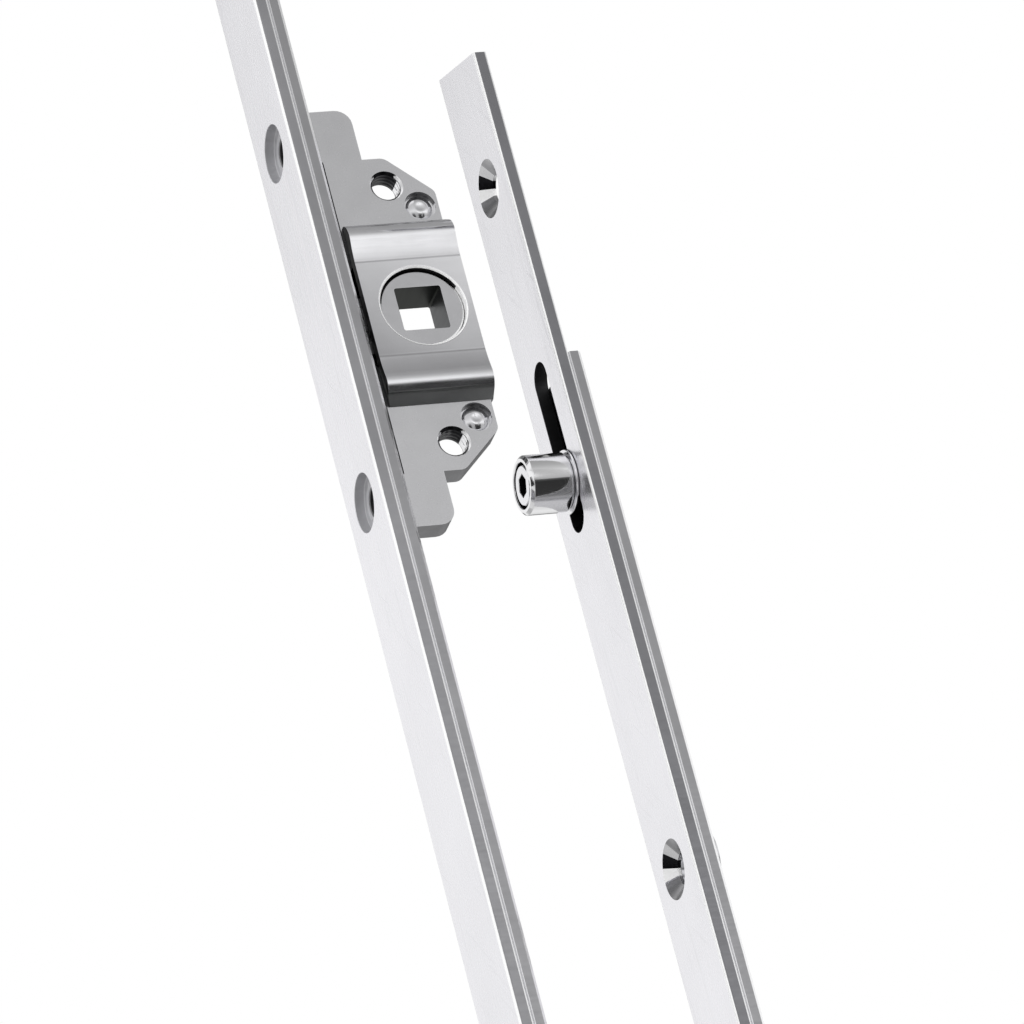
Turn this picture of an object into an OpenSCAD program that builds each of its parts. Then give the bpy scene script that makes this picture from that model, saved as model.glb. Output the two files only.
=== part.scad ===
// Window espagnolette: a gear section turned by a square spindle, and the head
// section with its roller cam, standing side by side.
// X is the depth into the sash edge, Y runs along the spindle, Z along the strips.
// The origin is on the spindle axis, midway through the gear casing.

/* [Faceplates] */
// Width of both faceplates
plate_w = 16; // [15:0.5:20]
// Thickness of both faceplates
plate_t = 2; // [1.8:0.1:3]
// Rounding along the long front edges
plate_round = 0.5; // [0.2:0.1:0.8]
// Spindle axis to the front of the gear faceplate
backset = 15; // [14.8:0.2:25]
// Top end of the gear faceplate above the spindle axis
gear_plate_up = 90; // [89:1:160]
// Bottom end of the gear faceplate below the spindle axis
gear_plate_down = 152; // [151:1:260]
// Distance from the front of the gear faceplate to the front of the head faceplate
head_side = 31.1; // [31:0.1:80]
// Near top corner of the head faceplate above the spindle level
head_plate_up = 39.4; // [30:0.1:90]
// How far the slanted top of the head faceplate rises across its width
head_plate_slant = 5.2; // [0:0.2:8]
// Bottom end of the head faceplate below the spindle level
head_plate_down = 124; // [123.5:0.5:200]

/* [Fixing screw holes] */
// Bore of the countersunk fixing holes
screw_d = 4.5; // [3.5:0.1:5]
// Mouth of the countersink
sink_d = 8.7; // [7:0.1:10]
// Depth of the countersink
sink_depth = 1.5; // [1.2:0.1:1.5]
// Upper fixing hole of the gear faceplate above the spindle axis
gear_screw_up = 64; // [58:0.5:66]
// Lower fixing hole of the gear faceplate below the spindle axis
gear_screw_down = 126; // [80:0.5:128]
// Upper fixing hole of the head faceplate above the spindle level
head_screw_up = 20.9; // [12:0.1:25]
// Lower fixing hole of the head faceplate below the spindle level
head_screw_down = 91.5; // [66:0.5:100]

/* [Drive rods] */
// How far each side of the rods stands back from the faceplate side
rod_inset = 0.3; // [0.2:0.1:0.8]
// Thickness of the rods
rod_t = 2; // [1.6:0.1:2.4]
// Chamfer along the long edges of the rods
rod_edge = 0.25; // [0.1:0.05:0.4]
// Gap between the back of a faceplate and its rod
rod_gap = 0.1; // [0.08:0.02:0.2]
// Clearance round a stud or bush in a rod slot
slot_gap = 0.25; // [0.15:0.05:0.3]
// Clearance round a fixed pin in its hole
pin_gap = 0.02; // [0.01:0.01:0.04]
// Top end of the gear rod above the spindle axis, at rest
gear_rod_up = 72; // [70:0.5:73]
// Bottom end of the gear rod below the spindle axis, at rest
gear_rod_down = 150; // [148:0.5:150.5]
// Bottom end of the head rod below the spindle level, at rest
head_rod_down = 123; // [120:0.5:123.4]

/* [Drive gear and rack] */
// Tooth pitch of the rack
rack_pitch = 4; // [3.8:0.05:4]
// Pressure angle of the teeth
pressure_angle = 20; // [18:0.5:22]
// Height of the gear teeth above the pitch circle
gear_addendum = 1.2; // [1:0.05:1.25]
// Depth of the gear teeth below the pitch circle
gear_dedendum = 1.3; // [1.2:0.05:1.5]
// Height of the rack teeth above the pitch line
rack_addendum = 1.05; // [0.9:0.05:1.1]
// Depth of the rack teeth below the pitch line
rack_dedendum = 1.45; // [1.4:0.05:1.5]
// Play between the teeth at the pitch line
backlash = 0.15; // [0.1:0.05:0.3]
// Width of the toothed sector along the spindle
sector_w = 4.8; // [4:0.1:4.9]
// Width of the rack along the spindle
rack_w = 5.8; // [5:0.2:8]
// Middle of the last rack tooth to the end of the rod window
rack_margin = 1.5; // [1.3:0.1:1.8]
// Length of the tab at each end of the rack
rack_tab = 3.1; // [2.8:0.1:3.4]
// Thickness of the rack tabs
rack_tab_t = 1.2; // [0.8:0.1:1.3]
// Shank of the rack rivets
rack_rivet_d = 1.8; // [1.4:0.1:2]
// Head of the rack rivets
rack_rivet_head_d = 2.9; // [2.6:0.1:3]
// Height of the rack rivet heads
rack_rivet_head_h = 0.5; // [0.3:0.1:0.6]
// Flush countersunk end of the rack rivets
rack_rivet_sink_d = 2.6; // [2.2:0.1:2.8]
// Depth of that countersunk end
rack_rivet_sink = 0.5; // [0.3:0.1:0.8]

/* [Spindle follower] */
// Diameter of the hub
hub_d = 12.6; // [12:0.1:13.2]
// Length of the hub along the spindle
hub_l = 6.2; // [5.4:0.1:7.4]
// Square hole for the spindle, across flats
spindle_sq = 7; // [6:0.5:8]
// Rounding in the corners of the square hole
spindle_round = 0.3; // [0.2:0.1:0.8]
// Clearance round the hub in the casing
hub_gap = 0.1; // [0.05:0.01:0.1]
// Chamfer round the ends of the hub
hub_chamfer = 0.25; // [0.1:0.05:0.4]

/* [Casing] */
// Thickness of the flat plate of the casing, both halves together
case_t = 3.6; // [3.6:0.1:4.4]
// Height of the flat middle of the cover above the middle plane
cover_flat = 3.9; // [3.8:0.1:4.4]
// Half length of the flat middle of the cover
flat_z = 7.9; // [7.2:0.1:8]
// Radius of the hollow ramps between the flat middle and the crests
cove_r = 16; // [14:0.5:17]
// Slope of the ramps where they leave the flat middle
cove_start = 2; // [0:0.5:4]
// Slope of the ramps where they meet the crests
cove_end = 15; // [13:0.5:15]
// Half length of the raised cover
cover_z = 15.2; // [14.6:0.1:15.3]
// Rounding of the crests
crest_round = 2.5; // [1.5:0.1:2.6]
// Right side of the cover from the spindle axis
cover_right = 7.5; // [7.3:0.1:9]
// Right side of the flat plate from the spindle axis
case_right = 7.1; // [7:0.1:8.5]
// Clearance round the toothed sector
sector_gap = 0.3; // [0.2:0.05:0.3]
// Clearance beside the toothed sector
side_gap = 0.2; // [0.1:0.05:0.2]
// Clearance between the rack teeth and the casing
rack_gap = 0.5; // [0.4:0.1:0.8]
// Clearance between the back of the rod and the casing
ear_gap = 0.3; // [0.2:0.05:0.5]
// Half length of the casing body, where the ears start
body_z = 26.2; // [25.5:0.1:26.5]
// Outer end of the ears from the spindle axis
ear_z = 34.8; // [33.5:0.1:36]
// Depth of the ears, measured from the spindle axis towards the faceplate
ear_x = 2.7; // [2:0.05:4]
// Rounding of the outer ear corners
ear_round = 2.4; // [1:0.1:3]
// Where the slanted corner starts along the end of the body
slant_x = 0.6; // [0.5:0.1:2]
// Where the slanted corner ends along the right side of the body
slant_z = 20.1; // [18:0.1:21]
// Rounding where the slanted corner starts
slant_round = 1.8; // [0.5:0.1:2]
// Rounding where the slanted corner ends
side_round = 1.5; // [0.5:0.1:2]
// Spacing of the two handle screw holes
handle_pitch = 43; // [43:0.5:44]
// Core diameter of the handle screw holes, tapped M5
handle_hole_d = 4.2; // [4:0.1:5.2]
// Chamfer round the handle screw holes
handle_chamfer = 0.4; // [0.1:0.1:0.5]
// Chamfer round the hub opening of the cover
hub_mouth = 0.25; // [0.1:0.05:0.4]

/* [Casing rivets] */
// Distance of the rivets from the spindle axis, across the casing
case_rivet_x = 4.3; // [4:0.1:4.6]
// Distance of the rivets from the spindle axis, along the casing
case_rivet_z = 17.8; // [17.7:0.1:18]
// Shank of the casing rivets
case_rivet_d = 2.4; // [1.8:0.1:2.8]
// Head of the casing rivets
case_rivet_head_d = 4; // [3.6:0.1:4.2]
// Height of the casing rivet heads
case_rivet_head_h = 0.7; // [0.4:0.1:0.9]
// Diameter of the recess round a rivet head
rivet_recess_d = 4.7; // [4.4:0.1:4.8]
// Depth of the recess round a rivet head
rivet_recess = 0.9; // [0.5:0.1:1]

/* [Bosses and guide bushes] */
// Distance of each boss from the spindle axis
boss_z = 29.3; // [29.2:0.1:30]
// Body of the bosses, which the rod slots run on
boss_d = 6.4; // [6.2:0.1:6.5]
// Hollow end of the bosses, held in the faceplate
boss_end_d = 6; // [5.4:0.1:6.1]
// Screw bore of the bosses
boss_bore_d = 4.3; // [3.5:0.1:4.6]
// Depth of the screw bore
boss_bore = 2.5; // [1.5:0.1:2.8]
// Tail of the bosses, clamped between the ears
boss_tail_d = 2.4; // [2:0.1:2.8]
// Length of the tail
boss_tail = 5; // [3:0.1:6]
// Round hole in the faceplate in front of each boss
boss_hole_d = 8.7; // [7:0.1:9.5]
// Depth of that hole to the boss end
boss_hole = 1.5; // [1:0.1:1.6]
// Body of the guide bushes
bush_d = 7; // [6.5:0.1:7.4]
// Flange of the guide bushes behind the rod
bush_flange_d = 10.5; // [9.5:0.1:12]
// Thickness of that flange
bush_flange_t = 1; // [0.6:0.1:1.5]
// Running gap between the rod and the flange
bush_gap = 0.15; // [0.1:0.05:0.3]

/* [Roller cam] */
// Roller axis below the spindle level, at rest
roller_z = 28.7; // [28:0.1:31]
// Outer diameter of the roller sleeve
roller_d = 8.7; // [8.2:0.1:10]
// How far the roller stands out of the faceplate
roller_out = 7.1; // [6.5:0.1:9]
// Chamfer on the roller ends
roller_chamfer = 0.45; // [0.2:0.05:0.5]
// Counterbore round the stud head
roller_mouth_d = 6.7; // [6.5:0.1:7.4]
// Depth of the counterbore
roller_mouth = 1.3; // [1:0.1:1.6]
// Shank of the stud
stud_d = 4.5; // [4:0.1:4.8]
// Running clearance between sleeve and shank
stud_gap = 0.05; // [0.03:0.01:0.1]
// Collar of the stud, which runs in the faceplate slot
stud_collar_d = 5.2; // [4.9:0.1:5.2]
// Head of the stud
stud_head_d = 5.9; // [5.4:0.1:6.2]
// Hexagon socket in the stud head, across flats
stud_socket = 3; // [2.5:0.1:3.6]
// Riveted end of the stud behind the rod
stud_tail_d = 6.8; // [6:0.1:8]
// Thickness of the riveted end
stud_tail_t = 0.7; // [0.5:0.1:1]
// Diameter of the washer between roller and faceplate
washer_d = 9.4; // [9:0.1:11]
// Thickness of that washer
washer_t = 0.3; // [0.3:0.1:1]
// Clearance of collar and washer from the faceplate
washer_gap = 0.1; // [0.08:0.02:0.2]
// Width of the slot that the stud runs in
cam_slot_w = 5.5; // [5.4:0.1:6.5]
// Spare slot below the stud at rest
cam_slot_spare = 5.2; // [0.3:0.1:6]
// Spare slot above the stud at full travel
cam_slot_head = 0.8; // [0.3:0.1:1.5]
// Top of the head rod above the roller axis
head_rod_lead = 17.1; // [10:0.1:20]

/* [Hidden] */
$fn = 64;

// A quarter turn of the spindle moves the rods by this many teeth
quarter_teeth = 4;
gear_teeth = 4 * quarter_teeth;
travel = quarter_teeth * rack_pitch;
pitch_r = rack_pitch * gear_teeth / (2 * PI);
base_r = pitch_r * cos(pressure_angle);
tip_r = pitch_r + gear_addendum;
root_r = pitch_r - gear_dedendum;
tooth_angle = 360 / gear_teeth;
// Half the angle of a gear tooth at the pitch circle, with half of the play taken off
tooth_half = (rack_pitch - backlash) / (4 * pitch_r) * 180 / PI;
// Half the width of a rack tooth at the pitch line
rack_half = (rack_pitch - backlash) / 4;
flank_steps = 6;
corner_steps = 6;
cove_steps = 6;
crest_steps = 8;
// Overshoot of every cut past the face it opens
over = 1;

gear_front = -backset;
gear_back = gear_front + plate_t;
rod_front = gear_back + rod_gap;
rod_back = rod_front + rod_t;
rod_w = plate_w - 2 * rod_inset;
slot_end = slot_gap;

head_front = gear_front + head_side;
head_back = head_front + plate_t;
head_rod_front = head_back + rod_gap;
head_rod_back = head_rod_front + rod_t;
head_rod_up = head_rod_lead - roller_z;

rack_pitch_x = -pitch_r;
rack_root_x = rack_pitch_x - rack_dedendum;
rack_tip_x = rack_pitch_x + rack_addendum;
tab_x = rod_back + rack_tab_t;
rack_up = rack_pitch + rack_margin;
rack_down = rack_up + travel;
tab_rivet_up = rack_up + rack_tab / 2;
tab_rivet_down = rack_down + rack_tab / 2;

case_half = case_t / 2;
case_left = rack_tip_x + rack_gap;
cover_left = case_left + 0.45;
ear_front = rod_back + ear_gap;
cavity_r = tip_r + sector_gap;
cavity_right = hub_d / 2 + 2 * hub_gap;
cavity_y = sector_w / 2 + side_gap;

washer_back = head_front - washer_gap;
washer_front = washer_back - washer_t;
sleeve_back = washer_front - stud_gap;
sleeve_front = head_front - roller_out;
mouth_floor = sleeve_front + roller_mouth;
stud_head_back = mouth_floor - washer_gap;
stud_head_front = sleeve_front + washer_gap;

// Profile helpers

// Extrudes an X-Z outline from y0 to y1
module upright(y0, y1) {
    translate([0, y1, 0]) rotate([90, 0, 0]) linear_extrude(y1 - y0) children();
}

// Cylinder along X
module rod_x(x0, x1, d, z) {
    translate([x0, 0, z]) rotate([0, 90, 0]) cylinder(d = d, h = x1 - x0);
}

// Cone along X
module cone_x(x0, x1, d0, d1, z) {
    translate([x0, 0, z]) rotate([0, 90, 0]) cylinder(d1 = d0, d2 = d1, h = x1 - x0);
}

// Straight slot with round ends, cut along X, between the end centres z0 and z1
module slot_x(x0, x1, d, z0, z1) {
    for (z = [z0, z1]) rod_x(x0, x1, d, z);
    translate([x0, -d / 2, z0]) cube([x1 - x0, d, z1 - z0]);
}

// Spherical cap of base diameter d and height h, on the X-Y plane
module dome(d, h) {
    r = (d * d / 4 + h * h) / (2 * h);
    intersection() {
        translate([0, 0, h - r]) sphere(r = r);
        cylinder(d = d + over, h = h + over);
    }
}

function unit(v) = v / norm(v);

// Points of the round that replaces corner b between its neighbours a and c
function corner(a, b, c, r) =
    r == 0 ? [b] :
    let (
        u = unit(a - b),
        v = unit(c - b),
        half = acos(u * v) / 2,
        centre = b + unit(u + v) * (r / sin(half)),
        s = b + u * (r / tan(half)) - centre,
        e = b + v * (r / tan(half)) - centre,
        from = atan2(s.y, s.x),
        sweep = (atan2(e.y, e.x) - from + 540) % 360 - 180
    )
    [for (i = [0 : corner_steps])
        centre + r * [cos(from + sweep * i / corner_steps), sin(from + sweep * i / corner_steps)]];

// Outline whose corners are given as [x, z, rounding]
function rounded(p) = let (n = len(p)) [
    for (i = [0 : n - 1])
        let (a = p[(i + n - 1) % n], b = p[i], c = p[(i + 1) % n])
        each corner([a.x, a.y], [b.x, b.y], [c.x, c.y], b.z)
];

// Faceplates

module strip_profile(x, w) {
    polygon(rounded([
        [x, -w / 2, plate_round], [x + plate_t, -w / 2, 0],
        [x + plate_t, w / 2, 0], [x, w / 2, plate_round]
    ]));
}

// Countersunk hole from the front of a faceplate
module screw_hole(x, z) {
    rod_x(x - over, x + plate_t + over, screw_d, z);
    cone_x(x, x + sink_depth, sink_d, screw_d, z);
    rod_x(x - over, x, sink_d, z);
}

module gear_faceplate() {
    color("gainsboro")
    difference() {
        translate([0, 0, -gear_plate_down])
            linear_extrude(gear_plate_up + gear_plate_down) strip_profile(gear_front, plate_w);
        for (z = [-boss_z, boss_z]) {
            rod_x(gear_front - over, gear_front + boss_hole, boss_hole_d, z);
            rod_x(gear_front, gear_back + over, boss_end_d + 2 * pin_gap, z);
        }
        for (z = [gear_screw_up, -gear_screw_down]) screw_hole(gear_front, z);
    }
}

module head_faceplate() {
    color("gainsboro")
    difference() {
        translate([0, 0, -head_plate_down])
            linear_extrude(head_plate_up + head_plate_slant + head_plate_down)
                strip_profile(head_front, plate_w);
        // Slanted top end, lower on the near side
        translate([head_front - over, 0, 0]) rotate([90, 0, 90]) linear_extrude(plate_t + 2 * over)
            polygon([
                [-plate_w / 2, head_plate_up], [plate_w / 2, head_plate_up + head_plate_slant],
                [plate_w / 2 + over, head_plate_up + head_plate_slant + over],
                [-plate_w / 2 - over, head_plate_up + head_plate_slant + over],
                [-plate_w / 2 - over, head_plate_up - over * head_plate_slant / plate_w]
            ]);
        for (z = [head_screw_up, -head_screw_down]) screw_hole(head_front, z);
        slot_x(head_front - over, head_back + over, cam_slot_w,
            -roller_z - cam_slot_spare, -roller_z + travel + cam_slot_head);
    }
}

// Drive rods

// Cross-section of a rod, with its long edges broken
module rod_profile(x) {
    side = rod_w / 2;
    polygon([
        [x, rod_edge - side], [x + rod_edge, -side], [x + rod_t - rod_edge, -side],
        [x + rod_t, rod_edge - side], [x + rod_t, side - rod_edge],
        [x + rod_t - rod_edge, side], [x + rod_edge, side], [x, side - rod_edge]
    ]);
}

// Slot in a rod for a fixed stud of diameter d at height z, over the whole travel
module travel_slot(x, d, z) {
    slot_x(x - over, x + rod_t + over, d + 2 * slot_gap, z - travel - slot_end, z + slot_end);
}

module gear_drive_rod() {
    color("silver")
    difference() {
        translate([0, 0, -gear_rod_down])
            linear_extrude(gear_rod_up + gear_rod_down) rod_profile(rod_front);
        for (z = [-boss_z, boss_z]) travel_slot(rod_front, boss_d, z);
        for (z = [gear_screw_up, -gear_screw_down]) travel_slot(rod_front, bush_d, z);
        // Window that the rack is set in
        translate([rod_front - over, -rack_w / 2 - rod_gap / 2, -rack_down - rod_gap / 2])
            cube([rod_t + 2 * over, rack_w + rod_gap, rack_up + rack_down + rod_gap]);
        for (z = [tab_rivet_up, -tab_rivet_down]) {
            rod_x(rod_front - over, rod_back + over, rack_rivet_d + 2 * pin_gap, z);
            cone_x(rod_front, rod_front + rack_rivet_sink, rack_rivet_sink_d + 2 * pin_gap,
                rack_rivet_d + 2 * pin_gap, z);
        }
    }
}

module head_drive_rod() {
    color("silver")
    difference() {
        translate([0, 0, -head_rod_down])
            linear_extrude(head_rod_up + head_rod_down) rod_profile(head_rod_front);
        rod_x(head_rod_front - over, head_rod_back + over, stud_d + 2 * pin_gap, -roller_z);
        travel_slot(head_rod_front, bush_d, -head_screw_down);
    }
}

// Rack and toothed sector

// Half the width of a rack tooth at depth x
function rack_half_at(x) = rack_half - (x - rack_pitch_x) * tan(pressure_angle);

// Corners of a rack tooth in X-Z, centred on z, going up
function rack_tooth(z) = [
    [rack_root_x, z - rack_half_at(rack_root_x)], [rack_tip_x, z - rack_half_at(rack_tip_x)],
    [rack_tip_x, z + rack_half_at(rack_tip_x)], [rack_root_x, z + rack_half_at(rack_root_x)]
];

// Corners of one end of the rack: its tab lies on the rod and its last tooth has one flank.
// z is the middle of that tooth, and end is 1 at the top and -1 at the bottom.
function rack_end(z, end) = [
    [rod_front, z + end * rack_margin], [rod_back, z + end * rack_margin],
    [rod_back, z + end * (rack_margin + rack_tab)], [tab_x, z + end * (rack_margin + rack_tab)],
    [tab_x, z + end * rack_half_at(tab_x)], [rack_tip_x, z + end * rack_half_at(rack_tip_x)],
    [rack_tip_x, z - end * rack_half_at(rack_tip_x)], [rack_root_x, z - end * rack_half_at(rack_root_x)]
];

module rack() {
    top = rack_end(rack_pitch, 1);
    color("darkgray")
    difference() {
        upright(-rack_w / 2, rack_w / 2) polygon(concat(
            rack_end(-travel - rack_pitch, -1),
            [for (i = [-quarter_teeth : 0]) each rack_tooth(i * rack_pitch)],
            [for (i = [len(top) - 1 : -1 : 0]) top[i]]
        ));
        for (z = [tab_rivet_up, -tab_rivet_down])
            rod_x(rod_back - over, tab_x + over, rack_rivet_d + 2 * pin_gap, z);
    }
}

module rack_rivet(z) {
    color("lightgray") {
        rod_x(rod_front, tab_x, rack_rivet_d, z);
        cone_x(rod_front, rod_front + rack_rivet_sink, rack_rivet_sink_d, rack_rivet_d, z);
        translate([tab_x, 0, z]) rotate([0, 90, 0])
            dome(rack_rivet_head_d, rack_rivet_head_h);
    }
}

// Involute function, in degrees
function involute(a) = tan(a) * 180 / PI - a;

// Half angle of a gear tooth at radius r
function half_angle(r) =
    r <= base_r ? half_angle(base_r * 1.0001)
    : tooth_half + involute(pressure_angle) - involute(acos(base_r / r));

// Outline of one gear tooth whose middle points along angle a
module gear_tooth(a) {
    start_r = root_r - gear_addendum;
    radii = concat([start_r], [for (i = [0 : flank_steps]) base_r + (tip_r - base_r) * i / flank_steps]);
    polygon(concat(
        [for (r = radii) r * [cos(a - half_angle(r)), sin(a - half_angle(r))]],
        [for (i = [len(radii) - 1 : -1 : 0])
            let (r = radii[i]) r * [cos(a + half_angle(r)), sin(a + half_angle(r))]]
    ));
}

// Pie slice from angle a0 to a1, reaching past radius r
module slice(a0, a1, r) {
    polygon(concat([[0, 0]], [for (i = [0 : 4]) let (a = a0 + (a1 - a0) * i / 4) 1.2 * r * [cos(a), sin(a)]]));
}

module spindle_follower() {
    // The sector points at the rack, on the side of the faceplate, and reaches down a quarter turn
    first = 180 - tooth_angle / 2;
    last = first + (quarter_teeth + 1) * tooth_angle;
    color("dimgray")
    difference() {
        union() {
            upright(hub_chamfer - hub_l / 2, hub_l / 2 - hub_chamfer) circle(d = hub_d);
            for (turn = [90, -90]) rotate([turn, 0, 0]) translate([0, 0, hub_l / 2 - hub_chamfer])
                cylinder(d1 = hub_d, d2 = hub_d - 2 * hub_chamfer, h = hub_chamfer);
            upright(-sector_w / 2, sector_w / 2) {
                intersection() {
                    circle(r = root_r);
                    slice(first - tooth_angle / 2, last + tooth_angle / 2, root_r);
                }
                for (i = [0 : quarter_teeth + 1]) gear_tooth(first + i * tooth_angle);
            }
        }
        upright(-hub_l / 2 - over, hub_l / 2 + over) polygon(rounded([
            for (c = [[-1, -1], [1, -1], [1, 1], [-1, 1]])
                [c.x * spindle_sq / 2, c.y * spindle_sq / 2, spindle_round]
        ]));
    }
}

// Casing

// Outline of the flat plate above the spindle
module plate_outline() {
    polygon(rounded([
        [case_left, 0, 0], [case_right, 0, 0], [case_right, slant_z, side_round], [slant_x, body_z, slant_round],
        [-ear_x, body_z, 0], [-ear_x, ear_z, ear_round], [ear_front, ear_z, 0],
        [ear_front, body_z, 0], [case_left, body_z, 0]
    ]));
}

// The upper end of the cover is a hollow ramp, a round crest and a straight run down to the plate.
// Its points are [z, height above the middle plane], and the lower end is the same mirrored.
ramp_end = [
    flat_z + cove_r * (sin(cove_end) - sin(cove_start)),
    cover_flat + cove_r * (cos(cove_start) - cos(cove_end))
];
crest_centre = ramp_end + crest_round * [sin(cove_end), -cos(cove_end)];
cover_foot = [cover_z, case_half];
to_foot = cover_foot - crest_centre;
run_angle = atan2(to_foot.y, to_foot.x) + acos(crest_round / norm(to_foot));
cover_end = concat(
    [for (i = [0 : cove_steps])
        let (a = cove_start + (cove_end - cove_start) * i / cove_steps)
        [flat_z + cove_r * (sin(a) - sin(cove_start)), cover_flat + cove_r * (cos(cove_start) - cos(a))]],
    [for (i = [1 : crest_steps])
        let (a = 90 + cove_end + (run_angle - 90 - cove_end) * i / crest_steps)
        crest_centre + crest_round * [cos(a), sin(a)]],
    [cover_foot, [cover_z, 0]]
);

// Front half of the casing, whose outer side faces -Y
module casing_half() {
    difference() {
        union() {
            upright(-case_half, 0) {
                plate_outline();
                mirror([0, 1]) plate_outline();
            }
            translate([cover_left, 0, 0]) rotate([90, 0, 90]) linear_extrude(cover_right - cover_left)
                polygon(concat(
                    [for (p = cover_end) [-p.y, p.x]],
                    [for (i = [len(cover_end) - 1 : -1 : 0]) [-cover_end[i].y, -cover_end[i].x]]
                ));
        }
        // Room for the toothed sector, open to the rack
        upright(-cavity_y, over) intersection() {
            circle(r = cavity_r);
            translate([-2 * cavity_r, -cavity_r]) square([2 * cavity_r + cavity_right, 2 * cavity_r]);
        }
        upright(-cover_flat - over, over) circle(d = hub_d + 2 * hub_gap);
        rotate([90, 0, 0]) translate([0, 0, cover_flat - hub_mouth])
            cylinder(d1 = hub_d + 2 * hub_gap, d2 = hub_d + 2 * hub_gap + 2 * hub_mouth, h = hub_mouth);
        for (side = [-1, 1]) {
            translate([0, 0, side * handle_pitch / 2]) rotate([90, 0, 0]) {
                translate([0, 0, -over]) cylinder(d = handle_hole_d, h = case_half + 2 * over);
                translate([0, 0, case_half - handle_chamfer])
                    cylinder(d1 = handle_hole_d, d2 = handle_hole_d + 2 * handle_chamfer, h = handle_chamfer);
            }
            translate([case_rivet_x, 0, side * case_rivet_z]) rotate([90, 0, 0]) {
                translate([0, 0, -over])
                    cylinder(d = case_rivet_d + 2 * pin_gap, h = case_half + 2 * over);
                translate([0, 0, case_half - rivet_recess]) cylinder(d = rivet_recess_d, h = rivet_recess + over);
            }
            rod_x(ear_front - over, ear_front + boss_tail + pin_gap, boss_tail_d + 2 * pin_gap, side * boss_z);
        }
    }
}

module casing_front() {
    color("gray") casing_half();
}

module casing_back() {
    color("gray") mirror([0, 1, 0]) casing_half();
}

module casing_rivet(side) {
    grip = case_half - rivet_recess;
    color("lightgray")
    translate([case_rivet_x, 0, side * case_rivet_z]) {
        rotate([90, 0, 0]) cylinder(d = case_rivet_d, h = 2 * grip, center = true);
        for (turn = [90, -90]) rotate([turn, 0, 0]) translate([0, 0, grip])
            dome(case_rivet_head_d, case_rivet_head_h);
    }
}

// Bosses and guide bushes

// Hollow boss that carries the casing on the gear faceplate
module frame_boss(side) {
    z = side * boss_z;
    front = gear_front + boss_hole;
    color("silver")
    difference() {
        union() {
            rod_x(front, gear_back, boss_end_d, z);
            rod_x(gear_back, ear_front, boss_d, z);
            rod_x(ear_front, ear_front + boss_tail, boss_tail_d, z);
        }
        rod_x(front - over, front + boss_bore, boss_bore_d, z);
    }
}

// Flanged bush that keeps a rod behind its faceplate and lets the fixing screw through
module guide_bush(x, z) {
    flange = x + rod_gap + rod_t + bush_gap;
    color("silver")
    difference() {
        union() {
            rod_x(x, flange, bush_d, z);
            rod_x(flange, flange + bush_flange_t, bush_flange_d, z);
        }
        rod_x(x - over, flange + bush_flange_t + over, screw_d, z);
    }
}

// Roller cam

module roller_stud() {
    z = -roller_z;
    color("whitesmoke")
    difference() {
        union() {
            rod_x(stud_head_front, stud_head_back, stud_head_d, z);
            rod_x(stud_head_back, washer_back, stud_d, z);
            rod_x(washer_back, head_rod_front, stud_collar_d, z);
            rod_x(head_rod_front, head_rod_back, stud_d, z);
            rod_x(head_rod_back, head_rod_back + stud_tail_t, stud_tail_d, z);
        }
        translate([stud_head_front - over, 0, z]) rotate([0, 90, 0])
            cylinder(d = stud_socket / cos(30), h = roller_mouth + over, $fn = 6);
    }
}

module roller_washer() {
    color("gainsboro")
    difference() {
        rod_x(washer_front, washer_back, washer_d, -roller_z);
        rod_x(washer_front - over, washer_back + over, stud_d + 2 * pin_gap, -roller_z);
    }
}

module roller_sleeve() {
    z = -roller_z;
    color("white")
    difference() {
        union() {
            cone_x(sleeve_front, sleeve_front + roller_chamfer, roller_d - 2 * roller_chamfer, roller_d, z);
            rod_x(sleeve_front + roller_chamfer, sleeve_back - roller_chamfer, roller_d, z);
            cone_x(sleeve_back - roller_chamfer, sleeve_back, roller_d, roller_d - 2 * roller_chamfer, z);
        }
        rod_x(sleeve_front - over, sleeve_back + over, stud_d + 2 * stud_gap, z);
        rod_x(sleeve_front - over, mouth_floor, roller_mouth_d, z);
    }
}

gear_faceplate();
head_faceplate();
casing_front();
casing_back();
casing_rivet(1);  // upper_casing_rivet
casing_rivet(-1);  // lower_casing_rivet
frame_boss(1);  // upper_boss
frame_boss(-1);  // lower_boss
guide_bush(gear_back, gear_screw_up);  // upper_guide_bush
guide_bush(gear_back, -gear_screw_down);  // lower_guide_bush
guide_bush(head_back, -head_screw_down);  // head_guide_bush
spindle_follower();
gear_drive_rod();
rack();
rack_rivet(tab_rivet_up);  // upper_rack_rivet
rack_rivet(-tab_rivet_down);  // lower_rack_rivet
head_drive_rod();
roller_stud();
roller_washer();
roller_sleeve();
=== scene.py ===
"""Looks of a recessed window espagnolette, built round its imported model.

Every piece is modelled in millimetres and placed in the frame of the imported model: X is the depth
into the sash edge, Y runs along the spindle away from the handle side, and Z runs up the strips.
"""

import sys

import logging
import math
from collections.abc import Callable, Iterable, Mapping, Sequence
from dataclasses import dataclass, replace
from enum import Enum

import bmesh
import bpy
from bmesh.types import BMEdge, BMesh, BMFace, BMVert
from bpy.types import Material, NodeSocket, Object
from mathutils import Matrix, Vector


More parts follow.
